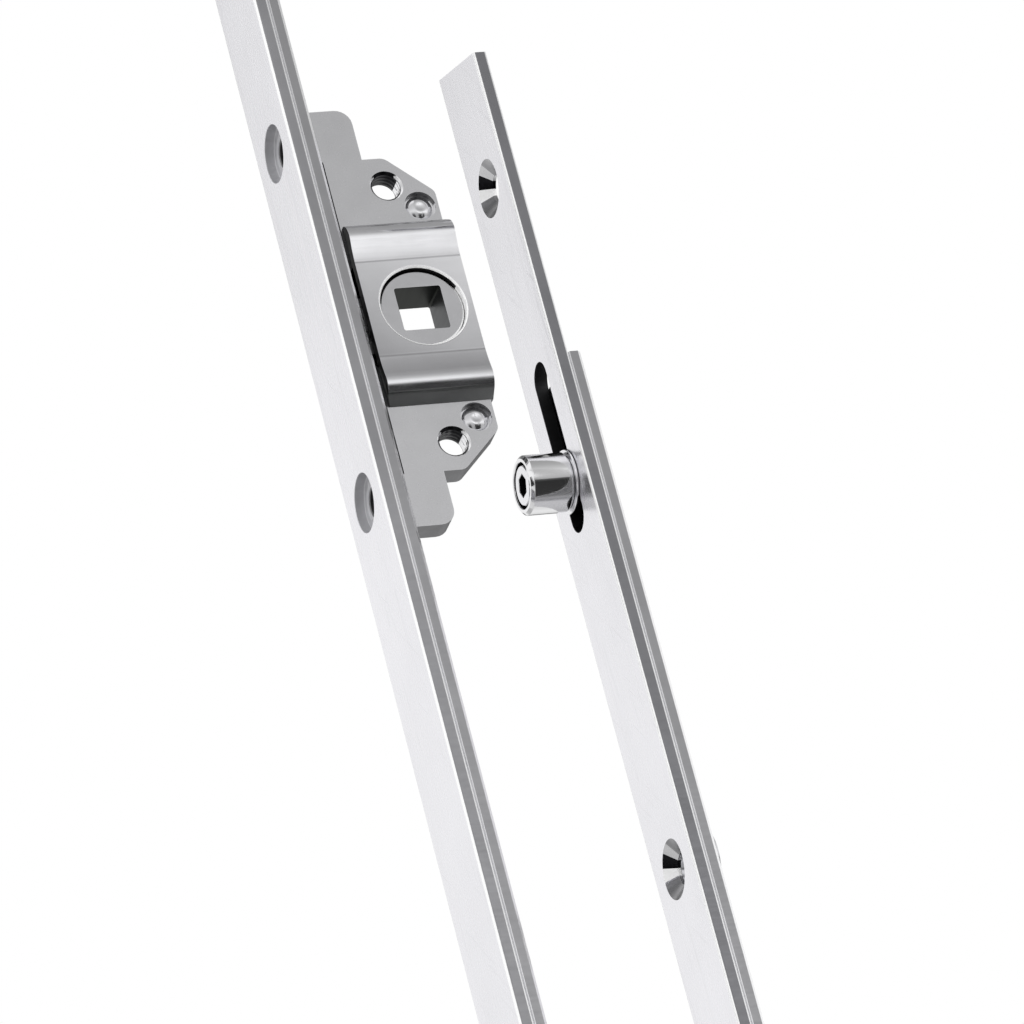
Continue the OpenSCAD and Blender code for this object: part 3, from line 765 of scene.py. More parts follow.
@dataclass
class Strip:
    """A flat strip with openings: a faceplate or a drive rod, front facing -X.

    The first finishes of its piece are those of the front, the sides, the back and the painted
    highlight line along the back edge, which rods also have on their front chamfer. With more than one
    edge step the front edge is round, with a painted glint on its front part.
    """

    piece: Piece
    front: float
    width: float
    ends: Pair
    edge: float
    back_edge: float
    openings: tuple[Loop, ...]
    edge_steps: int = 1
    slant: float = 0.0
    bands: tuple[Band, ...] = ()
    # Turn of the front round, in radians, up to which the painted glint reaches
    glint_turn: float = math.radians(61)

    def build(self) -> None:
        """Builds and dresses the strip."""
        face, _, rear, _ = self.piece.finishes[:4]
        blank = Blank(self.piece.finishes)
        outline = self._outline(blank)
        front = list(outline)
        back = self._walls(blank, outline)
        for loop in self.openings:
            edges = blank.draw(loop)
            front += edges
            back += blank.sweep(loop, edges)
        blank.fill(front, face)
        blank.fill(back, rear)
        for v in blank.mesh.verts:
            if v.co.y > self.ends[0] - TOUCH / 2:
                v.co.y += self.slant * (0.5 - v.co.x / self.width)
        for band in self.bands:
            blank.shade(band)
        blank.place(Facing.FRONT, Vector((self.front, 0.0, 0.0)))
        self.piece.finish(blank.mesh)

    def _outline(self, blank: Blank) -> list[BMEdge]:
        """Draws the outline of the front face, inside the rounding of the long edges.

        Args:
            blank: Blank to draw on.

        Returns:
            The four edges.
        """
        top, bottom = self.ends
        half = self.width / 2 - self.edge
        size = Matrix.Translation((0.0, (top + bottom) / 2, 0.0))
        size @= Matrix.Diagonal((half, (top - bottom) / 2, 1.0, 1.0))
        made = bmesh.ops.create_grid(blank.mesh, x_segments=1, y_segments=1, size=1.0, matrix=size)
        faces = {f for v in made["verts"] for f in v.link_faces}
        bmesh.ops.delete(blank.mesh, geom=list(faces), context="FACES_ONLY")
        return blank.edges_between(made["verts"])

    def _walls(self, blank: Blank, edges: list[BMEdge]) -> list[BMEdge]:
        """Sweeps the outline round the long edges and down to the back.

        Args:
            blank: Blank to work on.
            edges: Edges of the front outline.

        Returns:
            The edges of the back outline.
        """
        _, side, _, line = self.piece.finishes[:4]
        half = self.width / 2
        turns = [math.pi / 2 * (i + 1) / self.edge_steps for i in range(self.edge_steps)]
        rings = []
        for a in turns:
            finish = PAINTED_GLINT if a < self.glint_turn else side
            inward, depth = self.edge * (1 - math.sin(a)), self.edge * (1 - math.cos(a))
            rings.append((half - inward, depth, line if self.edge_steps == 1 else finish))
        rings.append((half, THICKNESS - self.back_edge, side))
        for a in turns:
            inward, left = self.back_edge * (1 - math.cos(a)), self.back_edge * (1 - math.sin(a))
            rings.append((half - inward, THICKNESS - left, line))
        for reach, depth, finish in rings:
            verts = blank.extrude(edges, finish)
            for v in verts:
                v.co.x = math.copysign(reach, v.co.x)
                v.co.z = -depth
            edges = blank.edges_between(verts)
        return edges


def opening(
    ends: Pair, width: float, finish: Finish, rim: float = 0.0, segments: int = 64
) -> Loop:
    """Returns a round hole or a slot through a strip, with a small rim at both ends.

    Args:
        ends: Heights of the top and bottom centres, the same for a hole.
        width: Width of the opening.
        finish: Finish of the wall.
        rim: Width of the rims, 0 for sharp ends.
        segments: Number of sides of its round ends.
    """
    r, t = width / 2, THICKNESS
    wall = steps((r, 0.0), (r, t), finish=finish)
    if rim:
        rings = ((r + rim, 0.0), (r, rim), (r, t - rim), (r + rim, t))
        wall = softened(steps(*rings, finish=finish), rim / 2)
    top, bottom = ends
    return Loop(wall, (top + bottom) / 2, half_height=(top - bottom) / 2, segments=segments)


@dataclass
class Faceplates:
    """The two faceplates."""

    width: float = 16.0
    edge_round: float = 0.5
    back_edge: float = 0.3
    rim: float = 0.08
    gear_front: float = -15.0
    gear_ends: Pair = (90.0, -152.0)
    gear_screws: Pair = (64.0, -126.0)
    boss_z: float = 29.3
    boss_hole: float = 8.7
    boss_hole_depth: float = 1.5
    boss_end: float = 6.04
    # Angles of the painted shade at the top of each boss hole
    boss_shade: Pair = (54, 126)
    head_front: float = 16.1
    head_ends: Pair = (39.4, -124.0)
    head_slant: float = 5.2
    head_screws: Pair = (20.9, -91.5)
    screw: float = 4.5
    sink: float = 8.7
    sink_depth: float = 1.5
    # Bands of painted reflection round each countersink: start and end angle, and finish
    sink_bands: tuple[tuple[float, float, Finish], ...] = (
        (84, 125, SINK_DIM_REFLECTION), (58, 84, SINK_GREY_REFLECTION), (27, 58, SINK_SHADE), (0, 27, SINK_LIGHT),
        (-78, 0, SINK_DIM_REFLECTION),
    )
    slot_width: float = 5.5
    slot_ends: Pair = (-11.9, -33.9)
    finishes: tuple[Finish, ...] = (
        ROD_FACE, EDGE_HIGHLIGHT, ZINC_BORE, SLOT_WALL_SHADE, BOSS_HOLE, SINK_SHADE, SINK_LIGHT, SINK_DIM_REFLECTION,
        PAINTED_GLINT, SINK_GREY_REFLECTION, HOLE_TOP_SHADE,
    )

    def screw_hole(self, z: float) -> Loop:
        """Returns the countersunk fixing hole at a height.

        Args:
            z: Height of the hole.
        """
        rim, bore = self.sink / 2, self.screw / 2
        rings = (
            (rim, 0.0), (rim - 0.04, 0.04), (bore, self.sink_depth), (bore, THICKNESS - 0.1),
            (bore + 0.1, THICKNESS),
        )
        return Loop(softened(steps(*rings, finish=ZINC_BORE), 0.06), z, segments=96)

    def boss_opening(self, z: float) -> Loop:
        """Returns the round hole in front of a boss at a height.

        Args:
            z: Height of the boss.
        """
        rim, end, floor = self.boss_hole / 2, self.boss_end / 2, self.boss_hole_depth
        inner = rim - 0.06
        rings = ((rim, 0.0), (inner, 0.06), (inner, floor), (end, floor), (end, THICKNESS))
        return Loop(softened(steps(*rings, finish=BOSS_HOLE), 0.1), z, segments=96)

    def build(self) -> None:
        """Builds both faceplates."""
        bosses = tuple(self.boss_opening(z) for z in (self.boss_z, -self.boss_z))
        slot = opening(self.slot_ends, self.slot_width, SLOT_WALL_SHADE, self.rim)
        gear = (self.gear_front, self.gear_ends, 0.0, self.gear_screws, bosses)
        head = (self.head_front, self.head_ends, self.head_slant, self.head_screws, (slot,))
        rows = (("gear_faceplate", ZINC_EDGE, gear), ("head_faceplate", HEAD_EDGE_SHADE, head))
        for node, edge, (front, ends, slant, screws, openings) in rows:
            piece = Piece(node, Body.FRAME, "zinc_plate", (ZINC_FACE, edge, *self.finishes))
            holes = tuple(self.screw_hole(z) for z in screws) + openings
            # Painted reflection bands in the countersinks, and painted shade at the top of each boss
            # hole
            bands = [
                Band(z, self.sink / 2, start, end, ZINC_BORE, finish)
                for z in screws for start, end, finish in self.sink_bands
            ]
            for z in (self.boss_z, -self.boss_z):
                bands.append(Band(z, self.boss_hole / 2, *self.boss_shade, BOSS_HOLE, HOLE_TOP_SHADE))
            Strip(
                piece, front, self.width, ends, self.edge_round, self.back_edge, holes,
                6, slant, tuple(bands),
            ).build()


@dataclass
class DriveRods:
    """The two rods that slide behind the faceplates."""

    width: float = 15.4
    edge: float = 0.25
    back_edge: float = 0.5
    gear_front: float = -12.9
    gear_ends: Pair = (72.0, -150.0)
    head_front: float = 18.2
    head_ends: Pair = (-11.6, -123.0)
    travel: float = 16.0
    slot_end: float = 0.25
    boss_z: float = 29.3
    boss_slot: float = 6.9
    bush_slot: float = 7.5
    gear_bushes: Pair = (64.0, -126.0)
    head_bush: float = -91.5
    window: Pair = (5.55, -21.55)
    window_width: float = 5.9
    window_corner: float = 0.05
    rivets: Pair = (7.05, -23.05)
    rivet_hole: float = 1.84
    rivet_sink: float = 2.64
    rivet_sink_depth: float = 0.5
    stud_z: float = -28.7
    stud_hole: float = 4.54
    finishes: tuple[Finish, ...] = (ROD_FRONT_SHADE, ROD_EDGE, ROD_FACE, EDGE_HIGHLIGHT)

    def travel_slot(self, z: float, width: float) -> Loop:
        """Returns the slot for a fixed stud at a height, over the whole travel."""
        return opening((z + self.slot_end, z - self.travel - self.slot_end), width, ROD_EDGE)

    def rivet_opening(self, z: float) -> Loop:
        """Returns the hole of a rack rivet at a height, countersunk on the front.

        Args:
            z: Height of the rivet.
        """
        hole, sink = self.rivet_hole / 2, self.rivet_sink / 2
        rings = ((sink, 0.0), (hole, self.rivet_sink_depth), (hole, THICKNESS))
        return Loop(steps(*rings, finish=ROD_EDGE), z, segments=32)

    def rack_window(self) -> Loop:
        """Returns the window that the rack is set in."""
        (top, bottom), corner = self.window, self.window_corner
        slot = opening((top - corner, bottom + corner), 2 * corner, ROD_EDGE, segments=16)
        return replace(slot, half_width=self.window_width / 2 - corner)

    def _rod(self, node: str, body: Body, front: float, ends: Pair, *openings: Loop) -> None:
        """Builds one rod that rides on a body, with its front at a depth."""
        piece = Piece(node, body, "rod_steel", self.finishes)
        Strip(piece, front, self.width, ends, self.edge, self.back_edge, openings).build()

    def build(self) -> None:
        """Builds both rods."""
        openings = [self.travel_slot(z, self.boss_slot) for z in (self.boss_z, -self.boss_z)]
        openings += [self.travel_slot(z, self.bush_slot) for z in self.gear_bushes]
        openings += [self.rivet_opening(z) for z in self.rivets]
        openings.append(self.rack_window())
        self._rod("gear_drive_rod", Body.GEAR_ROD, self.gear_front, self.gear_ends, *openings)
        stud = opening((self.stud_z,) * 2, self.stud_hole, ROD_EDGE)
        bush = self.travel_slot(self.head_bush, self.bush_slot)
        self._rod("head_drive_rod", Body.HEAD_ROD, self.head_front, self.head_ends, stud, bush)


# Gear casing


@dataclass
class Casing:
    """The two die-cast halves, their rivets and the bosses that carry them.

    The left side of the cover, cover_left, is brought level with the left side of the plate.
    """

    half: float = 1.8
    left: float = -8.636
    cover_left: float = -8.186
    cover_end: float = 15.2
    crest_z: float = 12.1
    crest_y: float = 3.8
    cavity_y: float = 2.61
    cavity_r: float = 11.7
    opening_r: float = 6.66
    opening_y: float = 2.7
    handle_z: float = 21.5
    handle_r: float = 2.55
    rivet_at: Pair = (4.3, 17.8)
    rivet_recess: float = 0.9
    recess_r: float = 2.35
    rivet_r: float = 1.2
    rivet_head_r: float = 2.0
    rivet_head: float = 0.7
    rivet_dome: tuple[Pair, ...] = (
        (0.25, 0.14), (0.5, 0.1), (0.75, 0.02), (1.1, 0.09), (1.5, 0.27), (1.8, 0.45),
    )
    ear_front: float = -10.6
    boss_front: float = -13.5
    boss_z: float = 29.3
    boss_bore: float = 2.15
    edge_break: float = 0.14
    opening_round: float = 0.3
    opening_reach: float = 0.1
    side_round: float = 0.4
    side_depth: float = 0.6
    finishes: tuple[Finish, ...] = (
        DIE_CAST, COVER, CAST_SIDE_SHADE, CAST_GAP_SHADE, THREAD, FORMED, COVER_END_SHADE, THREAD_SHADE, LIP_HIGHLIGHT,
    )

    def _finish_at(self, c: Vector, n: Vector) -> Finish:
        """Returns the finish of a face of a half, with zones of painted shade and painted highlight.
        The limits on n are cosines of slopes.

        Args:
            c: Centre of the face.
            n: Its normal.
        """
        height, side, from_axis = abs(c.z), abs(c.y), math.hypot(c.x, c.z)
        steep, raised = abs(n.y), side > self.half + TOUCH
        from_rivet = math.hypot(c.x - self.rivet_at[0], height - self.rivet_at[1])
        if side < self.half - TOUCH and from_rivet < self.recess_r + TOUCH:
            return CAST_SIDE_SHADE if n.z < -0.2 and steep < 0.8 else FORMED
        # Handle holes: painted shade on the walls facing down
        if math.hypot(c.x, height - self.handle_z) < self.handle_r and steep < 0.9:
            return THREAD_SHADE if n.z < -0.5 else THREAD
        # Spindle opening: painted shade on its lower walls, painted highlight elsewhere
        if side > self.opening_y and from_axis < self.opening_r and steep < 0.9:
            return CAST_GAP_SHADE if steep < 0.3 and n.z < (-0.42 if c.x > 0 else -0.2) else LIP_HIGHLIGHT
        # Cavity and walls facing the rod: painted shade
        in_cavity = side < self.cavity_y and from_axis < self.cavity_r and steep < 0.99
        if in_cavity or (n.x < -0.8 and c.x < self.left + self.side_depth):
            return CAST_GAP_SHADE
        if side < self.half and steep < 0.3:
            return CAST_SIDE_SHADE
        # End walls of the cover: painted shade
        if raised and height > self.crest_z and (n.z > 0.85 or n.z < -0.6):
            return COVER_END_SHADE
        return COVER if raised and height < self.cover_end and abs(n.x) < 0.3 else DIE_CAST

    def _halves(self) -> None:
        """Builds both halves of the casing."""
        r, high, side = self.opening_r, self.crest_y, self.left + self.side_depth
        rims = (
            Spot(
                self.opening_round,
                lambda c: abs(c.y) > high and abs(math.hypot(c.x, c.z) - r) < self.opening_reach,
            ),
            Spot(self.side_round, lambda c: abs(c.y) > high and c.x < side),
        )
        level = Spot(
            self.left - self.cover_left,
            lambda c: abs(c.y) > self.half + TOUCH and c.x < self.cover_left + TOUCH,
        )
        for node in ("casing_front", "casing_back"):
            piece = Piece(node, Body.FRAME, "cast_casing", self.finishes)
            Refined(piece, self.edge_break, self._finish_at, rims, (level,)).build()

    def _rivet(self, node: str, side: int) -> None:
        """Builds one casing rivet, with a formed head at each end.

        Args:
            node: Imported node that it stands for.
            side: 1 for the upper one and -1 for the lower one.
        """
        grip = self.half - self.rivet_recess
        r, head = self.rivet_head_r, self.rivet_head
        length = 2 * (grip + head)
        rings = [*self.rivet_dome, (r - 0.04, head - 0.1), (r - TOUCH, head), (self.rivet_r, head)]
        rings += [(radius, length - depth) for radius, depth in reversed(rings)]
        x, z = self.rivet_at
        piece = Piece(node, Body.FRAME, "rivet_steel", (FORMED,))
        origin = (x, -grip - head, side * z)
        Turned(piece, origin, steps(*rings), facing=Facing.NEAR).build()

    def _boss(self, node: str, side: int) -> None:
        """Builds one hollow boss.

        Args:
            node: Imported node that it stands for.
            side: 1 for the upper one and -1 for the lower one.
        """
        shoulder = self.ear_front - self.boss_front
        outer = steps(
            (2.85, 0.0), (3.0, 0.15), (3.0, 0.5), (3.2, 0.5), (3.2, shoulder), (1.2, shoulder),
            (1.2, shoulder + 4.8), (1.0, shoulder + 5.0),
        )
        r = self.boss_bore
        bore = Loop(steps((r + 0.15, 0.0), (r, 0.15), (r, 2.5), finish=CAST_SIDE_SHADE))
        piece = Piece(node, Body.FRAME, "turned_steel", (BOSS_HOLE, CAST_SIDE_SHADE))
        origin = (self.boss_front, 0.0, side * self.boss_z)
        Turned(piece, origin, softened(outer, 0.05), bore).build()

    def build(self) -> None:
        """Builds the whole casing."""
        self._halves()
        for place, side in (("upper", 1), ("lower", -1)):
            self._rivet(f"{place}_casing_rivet", side)
            self._boss(f"{place}_boss", side)


@dataclass
class GuideBushes:
    """The flanged bushes that keep the rods behind the faceplates."""

    body_r: float = 3.5
    flange_r: float = 5.25
    flange_at: float = 2.25
    flange: float = 1.0
    bore_r: float = 2.25
    places: tuple[tuple[str, float, float], ...] = (
        ("upper_guide_bush", -13.0, 64.0),
        ("lower_guide_bush", -13.0, -126.0),
        ("head_guide_bush", 18.1, -91.5),
    )

    def build(self) -> None:
        """Builds the bushes."""
        end = self.flange_at + self.flange
        outer = steps(
            (self.body_r, 0.0), (self.body_r, self.flange_at), (self.flange_r, self.flange_at),
            (self.flange_r, end - 0.2), (self.flange_r - 0.2, end),
        )
        rings = ((self.bore_r, 0.0), (self.bore_r, end - 0.25), (self.bore_r + 0.25, end))
        bore = Loop(steps(*rings, finish=ZINC_BORE))
        for node, x, z in self.places:
            piece = Piece(node, Body.FRAME, "turned_steel", (TURNED, ZINC_BORE))
            Turned(piece, (x, 0.0, z), softened(outer, 0.08), bore, True).build()


@dataclass
class Drive:
    """The spindle follower with its toothed sector, and the rack with its rivets."""

    square: float = 3.5
    hub_r: float = 6.4
    chamfer_r: float = 5.9
    rod_front: float = -12.9
    rod_back: float = -10.9
    tab: float = 1.2
    lip_top: float = 0.55
    follower_break: float = 0.08
    rack_break: float = 0.06
    rivets: tuple[tuple[str, float], ...] = (("upper_rack_rivet", 7.05), ("lower_rack_rivet", -23.05))
    finishes: tuple[Finish, ...] = (SINTERED, BROACHED_WALL_SHADE, TOOTH, BROACHED_SHADE, LIP_HIGHLIGHT)

    def _finish_at(self, c: Vector, n: Vector) -> Finish:
        """Returns the finish of a face of the follower, whose lip takes a painted highlight up to
        lip_top.

        Args:
            c: Centre of the face.
            n: Its normal.
        """
        away = math.hypot(c.x, c.z)
        in_chamfer = away > self.chamfer_r and 0.3 < abs(n.y) < 0.95
        if in_chamfer and c.x > 0 and c.z < self.lip_top * away:
            return LIP_HIGHLIGHT
        # Square bore: painted shade
        if max(abs(c.x), abs(c.z)) < self.square + TOUCH and abs(n.y) < 0.5:
            return BROACHED_SHADE if n.z < -0.3 else BROACHED_WALL_SHADE
        return TOOTH if away > self.hub_r else SINTERED

    def build(self) -> None:
        """Builds the follower and the rack with its rivets."""
        follower = Piece("spindle_follower", Body.FOLLOWER, "follower_steel", self.finishes)
        Refined(follower, self.follower_break, self._finish_at).build()
        rack = Piece("rack", Body.GEAR_ROD, "rack_steel", (TOOTH,))
        Refined(rack, self.rack_break, lambda *_: TOOTH).build()
        seat = self.rod_back + self.tab - self.rod_front
        outer = steps(
            (1.3, 0.0), (0.9, 0.5), (0.9, seat), (1.43, seat), (1.4, seat + 0.1),
            (1.1, seat + 0.3), (0.7, seat + 0.42), (0.3, seat + 0.49),
        )
        for node, z in self.rivets:
            piece = Piece(node, Body.GEAR_ROD, "rivet_steel", (FORMED,))
            Turned(piece, (self.rod_front, 0.0, z), outer).build()


@dataclass
class RollerCam:
    """The roller with its stud and washer."""

    z: float = -28.7
    sleeve_front: float = 9.0
    sleeve_back: float = 15.65
    sleeve_r: float = 4.35
    chamfer: float = 0.45
    mouth_r: float = 3.35
    mouth: float = 1.3
    bore_r: float = 2.3
    stud_front: float = 9.1
    head: float = 1.1
    head_r: float = 2.95
    shank_r: float = 2.25
    collar_r: float = 2.6
    washer_front: float = 15.7
    washer_back: float = 16.0
    washer_r: float = 4.7
    rod_front: float = 18.2
    rod_back: float = 20.2
    tail: float = 0.7
    tail_r: float = 3.4
    socket: float = 3.0
    socket_depth: float = 1.3

    def _sleeve(self) -> None:
        """Builds the polished roller."""
        length, r, c = self.sleeve_back - self.sleeve_front, self.sleeve_r, self.chamfer
        outer = steps((r - c, 0.0), (r, c), (r, length - c), (r - c, length))
        mouth, bore = self.mouth_r, self.bore_r
        inner = steps((mouth + 0.1, 0.0), (mouth, 0.1))
        inner += steps((mouth, self.mouth), (bore, self.mouth), (bore, length), finish=SOCKET_SHADE)
        piece = Piece("roller_sleeve", Body.ROLLER, "roller_steel", (POLISHED, SOCKET_SHADE))
        loop = Loop(softened(inner, 0.05), segments=96)
        origin = (self.sleeve_front, 0.0, self.z)
        Turned(piece, origin, softened(outer, 0.08, 4), loop, True).build()

    def _stud(self) -> None:
        """Builds the stud with its hexagon socket."""
        depths = (self.washer_back, self.rod_front, self.rod_back)
        neck, seat, tail = (depth - self.stud_front for depth in depths)
        end = tail + self.tail
        outer = steps(
            (self.head_r - 0.15, 0.0), (self.head_r, 0.15), (self.head_r, self.head),
            (self.shank_r, self.head), (self.shank_r, neck), (self.collar_r, neck),
            (self.collar_r, seat), (self.shank_r, seat), (self.shank_r, tail), (self.tail_r, tail),
            (self.tail_r, end - 0.25), (self.tail_r - 0.4, end),
        )
        corner = self.socket / math.sqrt(3)
        inner = steps((corner + 0.08, 0.0), (corner, 0.08))
        inner += steps((corner, self.socket_depth), finish=SOCKET_SHADE)
        piece = Piece("roller_stud", Body.HEAD_ROD, "stud_steel", (STUD, SOCKET_SHADE))
        origin = (self.stud_front, 0.0, self.z)
        socket = Loop(inner, segments=6)
        Turned(piece, origin, softened(outer, 0.06), socket).build()

    def _washer(self) -> None:
        """Builds the washer."""
        t, r, hole = self.washer_back - self.washer_front, self.washer_r, self.shank_r + TOUCH
        outer = softened(steps((r - 0.08, 0.0), (r, 0.08), (r, t - 0.05), (r - 0.05, t)), 0.04)
        bore = Loop(steps((hole, 0.0), (hole, t)))
        piece = Piece("roller_washer", Body.HEAD_ROD, "stud_steel", (STUD,))
        Turned(piece, (self.washer_front, 0.0, self.z), outer, bore, True).build()

    def build(self) -> None:
        """Builds the roller cam."""
        self._sleeve()
        self._stud()
        self._washer()


# Studio


def glowing(name: str) -> tuple[Material, Nodes, bpy.types.Node]:
    """Returns a new material that only glows, its helper and its emission node.

    Args:
        name: Name of the material.
    """
    material = bpy.data.materials.new(name)
    material.use_nodes = True
    nodes = Nodes(material.node_tree)
    light = nodes.make("Emission", "Emission", {})
    output = next(n for n in material.node_tree.nodes if n.type == "OUTPUT_MATERIAL")
    nodes.feed(output.inputs["Surface"], light)
    return material, nodes, light.node


def stage_object(name: str, mesh: BMesh, material: Material) -> Object:
    """Adds an object that isn't part of the model.

    Args:
        name: Name of the object.
        mesh: Its geometry.
        material: Its material.

    Returns:
        The new object.
    """
    data = bpy.data.meshes.new(name)
    mesh.to_mesh(data)
    mesh.free()
    data.materials.append(material)
    made = linked(name, data)
    made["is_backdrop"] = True
    return made


def only_reflected(made: Object) -> None:
    """Lets an object show in reflections and nowhere else."""
    made.visible_camera = made.visible_shadow = made.visible_diffuse = False


@dataclass(frozen=True)
class Drum:
    """Part of a glowing drum round the X axis, between two places along it.

    Each stop is an angle in degrees from -Y towards +Z and the level of light from there.
    """

    name: str
    start: float
    end: float
    stops: tuple[Pair, ...]
    radius: float = 0.8
    gain: float = 1.25

    def build(self) -> None:
        """Builds the drum."""
        mesh = bmesh.new()
        middle = Matrix.Translation(((self.start + self.end) / 2, 0.0, 0.0))
        bmesh.ops.create_cone(
            mesh, cap_ends=False, segments=128, radius1=self.radius, radius2=self.radius,
            depth=self.end - self.start, matrix=middle @ Matrix.Rotation(math.pi / 2, 4, "Y"),
        )
        material, nodes, emission = glowing(f"{self.name}_glow")
        emission.inputs["Strength"].default_value = self.gain
        parts = nodes.parts(nodes.place())
        front = nodes.math("MULTIPLY", parts["Y"], -1.0)
        angle = nodes.math("ARCTAN2", parts["Z"], front)
        turn = nodes.remap(angle, (-math.pi, math.pi), UNIT)
        colour = nodes.make("ValToRGB", "Color", {"Fac": turn})
        elements = colour.node.color_ramp.elements
        elements.remove(elements[1])
        for i, (degrees, level) in enumerate(self.stops):
            place = (degrees + 180) / 360
            element = elements[0] if i == 0 else elements.new(place)
            element.position = place
            element.color = (*(level / self.gain,) * 3, 1.0)
        nodes.feed(emission.inputs["Color"], colour)
        only_reflected(stage_object(self.name, mesh, material))


@dataclass(frozen=True)
class Card:
    """An upright glowing card between two corners in Y and Z, with some width along X."""

    name: str
    x: float
    low: Pair
    high: Pair
    level: float
    half_width: float = 0.0

    def build(self) -> None:
        """Builds the card."""
        mesh = bmesh.new()
        sides = list(zip(self.low, self.high, strict=True))
        half_y, half_z = ((b - a) / 2 for a, b in sides)
        place = (
            Matrix.Translation((self.x, *((a + b) / 2 for a, b in sides)))
            @ Matrix.Diagonal((self.half_width or 1.0, half_y or 1.0, half_z, 1.0))
            @ Matrix.Rotation(math.pi / 2, 4, "X" if self.half_width else "Y")
        )
        bmesh.ops.create_grid(mesh, x_segments=1, y_segments=1, size=1.0, matrix=place)
        material, _, emission = glowing(f"{self.name}_glow")
        emission.inputs["Color"].default_value = (*(self.level,) * 3, 1.0)
        only_reflected(stage_object(self.name, mesh, material))


UNDER_LEFT = ((-180, 0.9), (-170, 0.55), (-158, 0.45), (-130, 0.6))
OVER_LEFT = ((10, 0.9), (24, 0.7), (46, 0.6), (62, 1.0), (90, 1.0), (98, 0.2))
BEHIND_LEFT = ((108, 0.16), (118, 0.5), (128, 1.0), (180, 0.9))


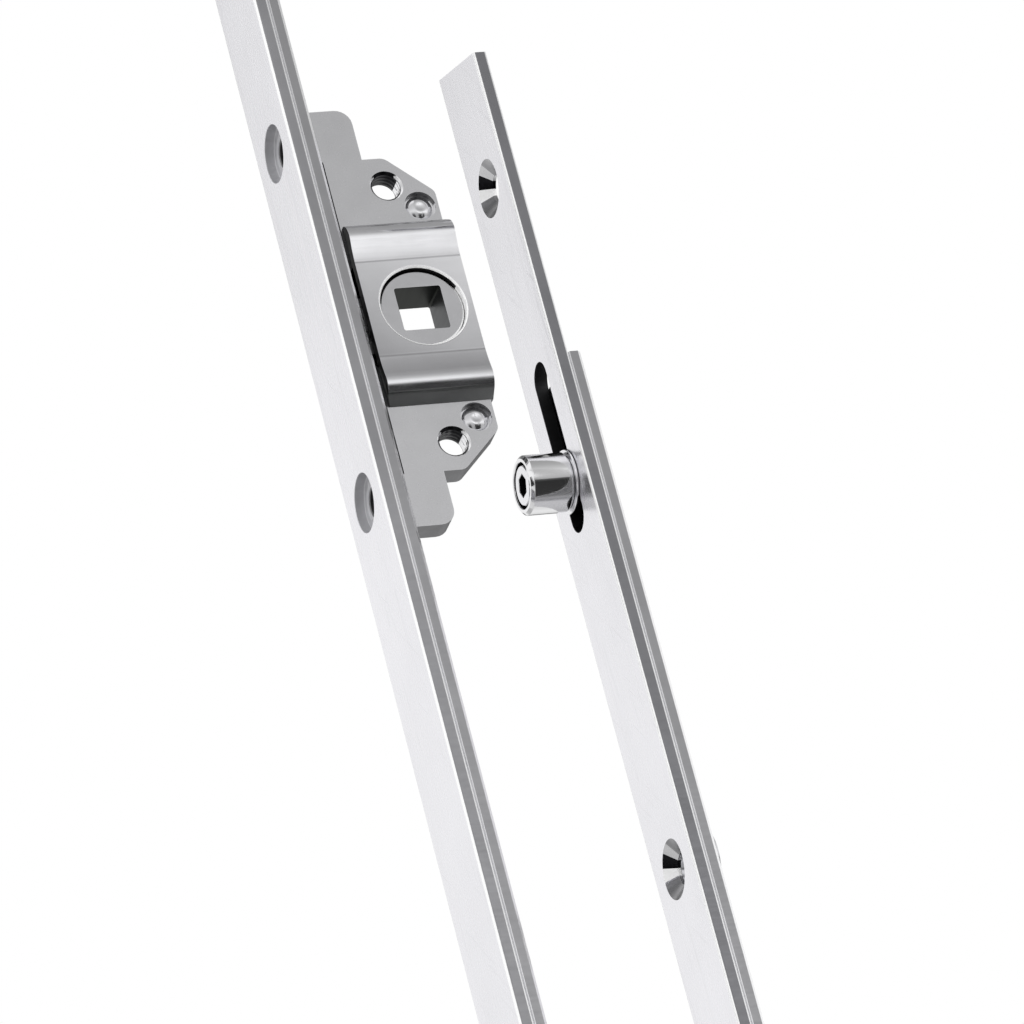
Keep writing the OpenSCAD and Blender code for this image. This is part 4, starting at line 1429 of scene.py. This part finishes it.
@dataclass
class Studio:
    """Camera, light, reflecting drums and cards, floor and white surroundings."""

    azimuth: float = -21.85
    elevation: float = -26.395
    roll: float = -14.982
    distance: float = 1.2
    aside: float = 0.013696
    above: float = -0.027852
    lens: float = 292.47
    floor_z: float = -1.1
    lamps: tuple[tuple[str, Triple, float], ...] = (
        ("key", (-1.1, -0.9, 0.9), 8.0), ("fill", (1.0, -1.0, 0.3), 3.0),
    )
    shapes: tuple[Drum | Card, ...] = (
        Drum(
            "right_drum", 0.05, 0.55,
            (
                (-180, 0.35), (-176, 0.75), (-150, 0.92), (-125, 0.8), (-108, 0.6), (-92, 0.4),
                (-84, 0.16), (-76, 0.04), (-20, 0.03), (-12, 0.1), (-6, 0.45), (-1, 0.9),
                (4, 1.15), (10, 1.12), (20, 0.92), (24, 0.78), (28, 0.66), (31, 0.6), (46, 0.46),
                (60, 0.4), (90, 0.36), (115, 0.4), (134, 0.42), (144, 0.36), (154, 0.3),
                (166, 0.2), (174, 0.2), (180, 0.35),
            ),
        ),
        Drum(
            "outer_right_drum", 0.55, 1.15,
            (
                (-180, 0.6), (-150, 0.92), (-125, 0.8), (-108, 0.7), (-60, 0.55), (-12, 0.55),
                (4, 1.1), (20, 0.92), (28, 0.66), (46, 0.5), (60, 0.45), (115, 0.45), (134, 0.45),
                (150, 0.4), (180, 0.6),
            ),
        ),
        Drum("far_drum", 1.15, 2.6, ((-180, 0.9), (-150, 0.9), (-125, 0.1), (15, 0.1), (35, 1.0))),
        Drum(
            "middle_drum", -0.2, 0.05,
            (
                *UNDER_LEFT, (-100, 0.6), (-60, 0.4), (-16, 0.45), (-8, 0.5), (0, 0.7), *OVER_LEFT,
                (146, 0.16), (156, 1.0), (180, 0.9),
            ),
        ),
        Drum(
            "outer_left_drum", -1.1, -0.5,
            (
                (-180, 0.9), (-130, 0.7), (-100, 0.7), (-60, 0.6), (-12, 0.6), (0, 0.75),
                *OVER_LEFT, *BEHIND_LEFT,
            ),
        ),
        Drum(
            "left_drum", -0.5, -0.2,
            (
                *UNDER_LEFT, (-100, 0.7), (-84, 0.4), (-76, 0.06), (-20, 0.05), (-8, 0.3), (0, 0.7),
                *OVER_LEFT, *BEHIND_LEFT,
            ),
        ),
        Card("left_card", -1.3, (-0.62, -0.36), (-0.3, 0.26), 0.01),
        Card("right_card", 2.6, (-1.0, -1.5), (1.0, 0.6), 0.08),
        Card("roller_card", 0.0476, (-0.1, -0.045), (-0.1, 0.03), 0.5, 0.0039),
    )

    def build(self) -> None:
        """Builds the whole studio."""
        self._camera()
        self._world()
        self._floor()
        for shape in self.shapes:
            shape.build()
        for lamp in self.lamps:
            self._lamp(*lamp)
        bpy.context.scene.view_settings.view_transform = "Standard"
        LOG.info("studio ready")

    def _camera(self) -> None:
        """Places the camera as the photograph was taken."""
        a, e, r = (math.radians(x) for x in (self.azimuth, self.elevation, self.roll))
        back = Vector((math.sin(a) * math.cos(e), -math.cos(a) * math.cos(e), math.sin(e)))
        level = Vector((0.0, 0.0, 1.0)).cross(back).normalized()
        upright = back.cross(level)
        right = level * math.cos(r) + upright * math.sin(r)
        up = upright * math.cos(r) - level * math.sin(r)
        data = bpy.data.cameras.new("camera")
        data.lens = self.lens
        data.sensor_width = 36.0
        data.clip_start, data.clip_end = 0.01, 100.0
        camera = linked("camera", data)
        place = back * self.distance + right * self.aside + up * self.above
        turn = Matrix((right, up, back)).transposed().to_4x4()
        camera.matrix_world = Matrix.Translation(place) @ turn
        bpy.context.scene.camera = camera

    def _world(self) -> None:
        """Makes the surroundings white for the camera and for reflections, and plain light else."""
        world = bpy.data.worlds.new("surroundings")
        bpy.context.scene.world = world
        world.use_nodes = True
        nodes = Nodes(world.node_tree)
        background = world.node_tree.nodes["Background"]
        rays = nodes.make("LightPath", "Is Camera Ray", {}).node.outputs
        seen = rays["Is Camera Ray"]
        for kind in ("Is Glossy Ray", "Is Transmission Ray"):
            seen = nodes.math("MAXIMUM", seen, rays[kind])
        nodes.feed(background.inputs["Strength"], nodes.remap(seen, UNIT, (0.8, 1.0)))
        background.inputs["Color"].default_value = (1.0, 1.0, 1.0, 1.0)

    def _floor(self) -> None:
        """Lays a plain pale floor well below the part."""
        mesh = bmesh.new()
        place = Matrix.Translation((0.0, 0.0, self.floor_z))
        bmesh.ops.create_grid(mesh, x_segments=1, y_segments=1, size=4.0, matrix=place)
        material = bpy.data.materials.new("pale_floor")
        material.use_nodes = True
        shader = material.node_tree.nodes["Principled BSDF"]
        shader.inputs["Base Color"].default_value = (0.9, 0.9, 0.9, 1.0)
        shader.inputs["Roughness"].default_value = 0.9
        stage_object("floor", mesh, material)

    def _lamp(self, name: str, place: Triple, power: float, size: float = 0.9) -> None:
        """Adds a square soft lamp that points at the part.

        Args:
            name: Name of the lamp.
            place: Where it stands, in metres.
            power: Power in watts.
            size: Length of its side.
        """
        data = bpy.data.lights.new(name, "AREA")
        data.energy = power
        data.size = size
        lamp = linked(name, data)
        lamp.location = place
        lamp.rotation_mode = "QUATERNION"
        lamp.rotation_quaternion = (-Vector(place)).to_track_quat("-Z", "Y")
        lamp.visible_glossy = False


def keep_size(name: str, boxes: dict[str, list[list[float]]]) -> None:
    """Notes the box of the shown model under a name."""
    low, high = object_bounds()
    boxes[name] = [list(low), list(high)]


def main() -> None:
    """Builds every sub-assembly and the studio."""
    logging.basicConfig(level=logging.INFO, format="%(message)s", stream=sys.stdout)
    boxes: dict[str, list[list[float]]] = {}
    keep_size("cad", boxes)
    for part in (Faceplates(), DriveRods(), Casing(), GuideBushes(), Drive(), RollerCam(), Studio()):
        part.build()
    keep_size("visual", boxes)


if __name__ == "__main__":
    main()
